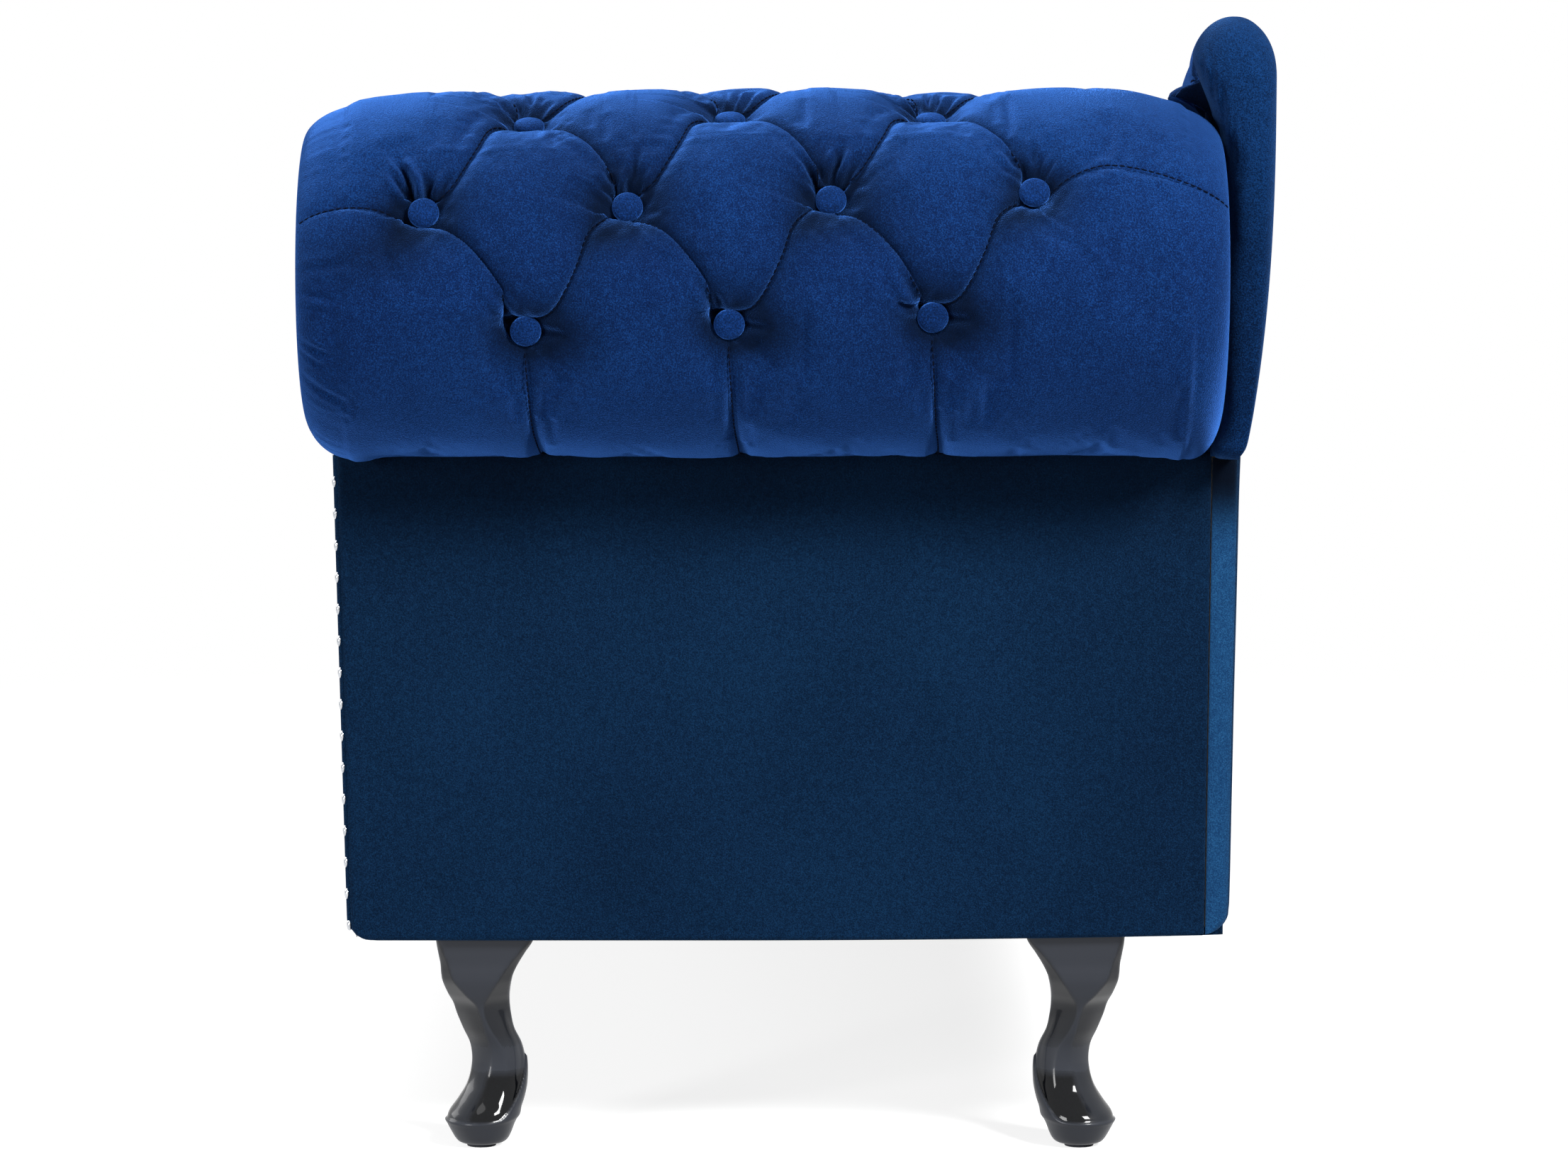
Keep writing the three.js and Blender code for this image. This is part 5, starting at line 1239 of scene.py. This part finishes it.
# Stitches 4.7 mm long and 5.2 mm apart make a nearly continuous dark line, which also stands in for the shade
# in the seam.
STITCH_SIZE = (0.00235, 0.00065, 0.00065)
INPUTS = (("Size", "Vector"), ("Fullness", "Float"), ("Pitch", "Float"), ("Material", "Material"))


def repeating_tree(name, segments, rings, turned):
    """A tree that repeats a ball whose half sizes are Size, in metres; the lower its Fullness, the squarer
    its shoulders. Turned by "attribute", one stands at every point of the mesh. Turned by "line", or not at
    all, they stand a Pitch apart along its lines."""
    tree = bpy.data.node_groups.new(name, "GeometryNodeTree")
    tree.interface.new_socket("Geometry", in_out="INPUT", socket_type="NodeSocketGeometry")
    for label, kind in INPUTS:
        tree.interface.new_socket(label, in_out="INPUT", socket_type="NodeSocket" + kind)
    tree.interface.new_socket("Geometry", in_out="OUTPUT", socket_type="NodeSocketGeometry")
    given = node(tree, "NodeGroupInput")
    ball = node(tree, "GeometryNodeMeshUVSphere", {"Segments": segments, "Rings": rings, "Radius": 1.0})
    x, y, z = node(tree, "ShaderNodeSeparateXYZ", {0: node(tree, "GeometryNodeInputPosition")}).outputs
    height = node(tree, "ShaderNodeMath", {"operation": "ABSOLUTE", 0: z})
    pressed = node(tree, "ShaderNodeMath", {"operation": "POWER", 0: height, 1: given.outputs["Fullness"]})
    side = node(tree, "ShaderNodeMath", {"operation": "SIGN", 0: z})
    signed = node(tree, "ShaderNodeMath", {"operation": "MULTIPLY", 0: pressed, 1: side})
    shape = node(tree, "ShaderNodeCombineXYZ", {0: x, 1: y, 2: signed})
    sized = node(tree, "ShaderNodeVectorMath", {"operation": "MULTIPLY", 0: shape, 1: given.outputs["Size"]})
    one = node(tree, "GeometryNodeSetPosition", {"Geometry": ball, "Position": sized})
    values = {"Points": given.outputs["Geometry"], "Instance": one}
    if turned == "attribute":
        named = {"data_type": "FLOAT_VECTOR", "Name": "turn"}
        values["Rotation"] = node(tree, "GeometryNodeInputNamedAttribute", named)
    else:
        line = node(tree, "GeometryNodeMeshToCurve", {"Mesh": given.outputs["Geometry"]})
        pitch = {"mode": "LENGTH", "Curve": line, "Length": given.outputs["Pitch"]}
        values["Points"] = node(tree, "GeometryNodeResampleCurve", pitch)
    if turned == "line":
        along = {"axis": "X", "Vector": node(tree, "GeometryNodeInputTangent")}
        values["Rotation"] = node(tree, "FunctionNodeAlignEulerToVector", along)
    real = node(tree, "GeometryNodeRealizeInstances", {0: node(tree, "GeometryNodeInstanceOnPoints", values)})
    dressed = node(tree, "GeometryNodeSetMaterial", {"Geometry": real, "Material": given.outputs["Material"]})
    smooth = node(tree, "GeometryNodeSetShadeSmooth", {"Geometry": dressed})
    node(tree, "NodeGroupOutput", {0: smooth})
    return tree


def repeated(name, points, lines, tree, values, nodes=(), turns=()):
    """Runs a tree on a mesh of points and lines and keeps the result as a plain mesh piece."""
    source = bpy.data.meshes.new(name)
    source.from_pydata((np.asarray(points, float) * MM).tolist(), lines, [])
    if len(turns):
        layer = source.attributes.new("turn", "FLOAT_VECTOR", "POINT")
        layer.data.foreach_set("vector", np.asarray(turns, float).ravel())
    piece = bpy.data.objects.new(name, source)
    bpy.context.scene.collection.objects.link(piece)
    modifier = piece.modifiers.new(name, "NODES")
    modifier.node_group = tree
    for item in tree.interface.items_tree:
        if item.in_out == "INPUT" and item.name in values:
            modifier[item.identifier] = values[item.name]
    graph = bpy.context.evaluated_depsgraph_get()
    made = bpy.data.meshes.new_from_object(piece.evaluated_get(graph))
    made.name = name
    piece.modifiers.clear()
    piece.data = made
    bpy.data.meshes.remove(source)
    return declare(piece, nodes)


def nailed_line():
    """Nails round the front facing, a little in from its edge."""
    outline = scroll_outline(CORE_RADIUS - 6.0, X_PANEL - 6.6, Z_PANEL + 9, 3.0)
    points = stacked(outline[:, 0], facing_y(outline[:, 1]) + 1.3, outline[:, 1])
    count = len(points)
    values = {"Pitch": NAIL_PITCH, "Size": NAIL_SIZE, "Fullness": 1.0, "Material": NAIL}
    repeated("arm_nails", points, [(k, (k + 1) % count) for k in range(count)], NAILS, values)


def buttons_on(name, places, normals, rise, nodes=()):
    """Covered buttons whose middles stand a little over the bottom of their dimples."""
    normals = np.broadcast_to(normals, places.shape)
    turns = [tuple(Vector(normal).to_track_quat("Z", "Y").to_euler()) for normal in normals]
    values = {"Size": BUTTON_SIZE, "Fullness": 0.7, "Material": VELVET_BUTTON}
    repeated(name, places + normals * rise, [], BUTTONS, values, nodes, turns)


def seam_lines(tuft, inside, place):
    """The sewn lines of a tufted cover, cut to the part of the layout that is in sight."""
    lines = []
    for line, *_ in tuft.seams:
        u, v = line[inside(*line.T)].T
        if len(u) > 2:
            lines.append(place(u, v, tuft.depth(u, v) - 0.6))
    return lines


def stitched(name, lines):
    points, links = [], []
    for line in lines:
        start = len(points)
        points += line.tolist()
        links += [(start + k, start + k + 1) for k in range(len(line) - 1)]
    values = {"Pitch": STITCH_PITCH, "Size": STITCH_SIZE, "Fullness": 1.0, "Material": THREAD_AND_SEAM_SHADE}
    repeated(name, points, links, STITCHES, values)


# Frame and dust cover


def dress_frame():
    """Gives every solid of the frame its material; the grain of wood follows its longest side."""
    finishes = {"steel": ZINC, "hessian": HESSIAN, "foam": FOAM, "glide": FELT, "dust_cloth": DUST_CLOTH,
                "leg_wood": LACQUER, "velvet": VELVET_DOWN_SHADED}
    for part in frame["record"]["subparts"]:
        low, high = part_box(part["node"])
        size = [b - a for a, b in zip(low, high)]
        axis = "xyz"[size.index(max(size))]
        wood = {"frame_wood": PINE[axis], "plywood": PLYWOOD["x" if axis == "x" else "z"]}
        for place in frame["nodes"][part["node"]].material_slots:
            place.material = {**finishes, **wood}[part["material_slot"]]


def dust_cover():
    """The thin cloth stapled under the frame, with an opening for each leg's plate; it hangs down a little in
    the middle."""
    left, right, front, rear, half = -834.7, 699.7, -323.7, 305.9, 31.3

    def cuts(low, high, middles):
        """Stations from one edge to the other, with one at each side of every opening."""
        stops = [low] + [middle + d for middle in middles for d in (-half, half)] + [high]
        runs = [between(a, b, 22.0) for a, b in zip(stops[:-1], stops[1:])]
        return np.unique(np.concatenate(runs).round(3))

    x, y = grid_of(cuts(left, right, LEG_X), cuts(front, rear, LEG_Y))
    across = np.sin(math.pi * (x - left) / (right - left)) * np.sin(math.pi * (y - front) / (rear - front))
    z = 169.8 - across * (2.4 + 0.5 * value_noise(x, y, 90, 61)) + 0.12 * across * value_noise(x, y, 30, 62)
    count = x.size
    points = np.concatenate([stacked(x, y, z + side).reshape(-1, 3) for side in (0.2, -0.2)])
    in_opening = lambda cx, cy: any(abs(cx - a) < half and abs(cy - b) < half for a in LEG_X for b in LEG_Y)
    quads = [quad for quad in grid_faces(*x.shape) if not in_opening(*points[quad, :2].mean(0))]
    # The sides of quads that no other quad shares are the edges of the cloth.
    sides = {}
    for quad in quads:
        for a, b in zip(quad, quad[1:] + quad[:1]):
            if sides.pop((b, a), None) is None:
                sides[(a, b)] = True
    faces = quads + [[k + count for k in quad[::-1]] for quad in quads]
    faces += [[b, a, a + count, b + count] for a, b in sides]
    used = sorted({k for face in faces for k in face})
    number = {k: n for n, k in enumerate(used)}
    faces = [[number[k] for k in face] for face in faces]
    piece = make_piece("dust_cover_cloth", points[used], faces, DUST_CLOTH, "dust_cloth", ["dust_cover"])


# The couch, put together

NAILS = repeating_tree("row_of_nails", 14, 10, None)
BUTTONS = repeating_tree("covered_buttons", 32, 20, "attribute")
STITCHES = repeating_tree("line_of_stitches", 6, 4, "line")

arm_tuft = arm_pad()
dress_frame()
dust_cover()
arm_outside_cover()
border_cover("front_border_cover", "front_border", "x", X_FOOT_PANEL, 610.0,
             Y_FACING + 1, Y_FRAME_FRONT - 0.4, FRONT_LEAN)
border_cover("foot_border_cover", "foot_border", "y", Y_FRAME_FRONT, Y_BOARD_REAR + 0.3,
             X_FOOT_PANEL, -835.0, 0.0)
front_facing()
rear_facing()
back_tuft = back_cover()
back_outside_cover()
seat_tuft = seat_cover()
for end, x, out_x in (("arm", LEG_X[1], 1), ("foot", LEG_X[0], -1)):
    for side, y, out_y in (("front", LEG_Y[0], -1), ("rear", LEG_Y[1], 1)):
        leg(side + "_" + end, x, y, out_x, out_y)
nailed_line()


def arm_line(u, v, depth):
    return arm_point(u, v, np.minimum(depth, PAD_THICKNESS - 4.6))


def back_point(x, v, depth):
    z = crest_top(x) + v
    return stacked(x, back_front(x, z, depth), z)


us, vs = np.array(arm_tuft.buttons).T
_, _, nx, nz = arm_station(vs)
places = arm_point(us, vs, np.minimum(arm_tuft.depth(us, vs), PAD_THICKNESS - 5))
buttons_on("arm_buttons", places, stacked(nx, 0.0, nz), 8.0, ["arm_button_%d" % k for k in range(1, 8)])
us, vs = np.array(back_tuft.buttons).T
tilt = math.radians(9.0)
upward = (0.0, -math.cos(tilt), math.sin(tilt))
buttons_on("back_buttons", back_point(us, vs, back_tuft.depth(us, vs)), upward, 7.0)
us, vs = np.array(seat_tuft.buttons).T
buttons_on("seat_buttons", seat_point(us, vs, seat_tuft.depth(us, vs)), (0.0, 0.0, 1.0), 6.0)

on_arm = lambda u, v: (u > Y_FRONT + 1) & (u < Y_ARM_REAR - 1) & (v > -10) & (v < 930)
stitched("arm_stitches", seam_lines(arm_tuft, on_arm, arm_line))
on_back = lambda x, v: (v < -CREST_SEAM) & (crest_top(x) + v > Z_SEAT) & (x > X_BACK_FOOT + 30) & (x < 698)
crest_line = back_point(np.arange(-690.0, 697.0, 4.0), -47.0, 0.0) - (0.0, 0.5, 0.0)
stitched("back_stitches", seam_lines(back_tuft, on_back, back_point) + [crest_line])
on_seat = lambda x, y: (x > X_FOOT + 32) & (x < 556) & (y > -313) & (y < 222)
stitched("seat_stitches", seam_lines(seat_tuft, on_seat, seat_point))

# Floor, world and lamps


def looked_at(tree):
    """1 for rays from the camera, from a mirror and through glass, which see a plain white background."""
    rays = node(tree, "ShaderNodeLightPath").outputs
    eye, mirror = rays["Is Camera Ray"], rays["Is Glossy Ray"]
    seen = node(tree, "ShaderNodeMath", {"operation": "MAXIMUM", 0: eye, 1: mirror})
    return node(tree, "ShaderNodeMath", {"operation": "MAXIMUM", 0: seen, 1: rays["Is Transmission Ray"]})


def studio_floor():
    """White paper: it keeps the couch's shadow near it and fades to an even white further out."""
    white, tree, place = new_material("studio_floor_white")
    away = node(tree, "ShaderNodeVectorMath", {"operation": "LENGTH", 0: place}).outputs["Value"]
    far = node(tree, "ShaderNodeMapRange",
               {"interpolation_type": "SMOOTHSTEP", "Value": away, "From Min": 1.1, "From Max": 2.6})
    diffuse = node(tree, "ShaderNodeBsdfDiffuse", {"Color": linear("#a6a6a6"), "Roughness": 0.6})
    glow = node(tree, "ShaderNodeEmission", {"Color": (1, 1, 1, 1), "Strength": 0.78})
    lit = node(tree, "ShaderNodeAddShader", {0: diffuse, 1: glow})
    even = node(tree, "ShaderNodeEmission", {"Color": (1, 1, 1, 1), "Strength": 1.0})
    faded = node(tree, "ShaderNodeMixShader", {0: far, 1: lit, 2: even})
    chosen = node(tree, "ShaderNodeMixShader", {0: looked_at(tree), 1: diffuse, 2: faded})
    node(tree, "ShaderNodeOutputMaterial", {"Surface": chosen})
    bpy.ops.mesh.primitive_circle_add(vertices=96, radius=24.0, fill_type="NGON")
    floor = bpy.context.object
    floor.name = "floor"
    floor.data.materials.append(white)


def studio_world():
    world = bpy.data.worlds.new("studio")
    world.use_nodes = True
    bpy.context.scene.world = world
    tree = world.node_tree
    tree.nodes.clear()
    levels = {"From Min": 0.0, "From Max": 1.0, "To Min": 0.14, "To Max": 1.0}
    strength = node(tree, "ShaderNodeMapRange", {"Value": looked_at(tree), **levels})
    sky = node(tree, "ShaderNodeBackground", {"Color": (1, 1, 1, 1), "Strength": strength})
    node(tree, "ShaderNodeOutputWorld", {"Surface": sky})


def softbox(name, place, aim, width, height, watts):
    data = bpy.data.lights.new(name, "AREA")
    data.shape, data.size, data.size_y, data.energy = "RECTANGLE", width, height, watts
    lamp = bpy.data.objects.new(name, data)
    lamp.location = place
    lamp.rotation_euler = (Vector(aim) - Vector(place)).to_track_quat("-Z", "Y").to_euler()
    bpy.context.scene.collection.objects.link(lamp)


studio_floor()
studio_world()
softbox("softbox_key", (2.9, 1.9, 2.5), (0.7, 0.0, 0.5), 1.0, 1.0, 190)
softbox("softbox_over", (0.3, -0.5, 3.2), (0.2, 0.0, 0.5), 3.2, 2.4, 60)
softbox("softbox_arm_end", (4.0, -3.1, 0.9), (0.7, 0.0, 0.55), 1.6, 1.4, 125)
softbox("softbox_front", (-1.6, -4.2, 2.2), (0.0, 0.0, 0.5), 2.2, 1.8, 60)

bpy.context.scene.view_settings.view_transform = "Standard"
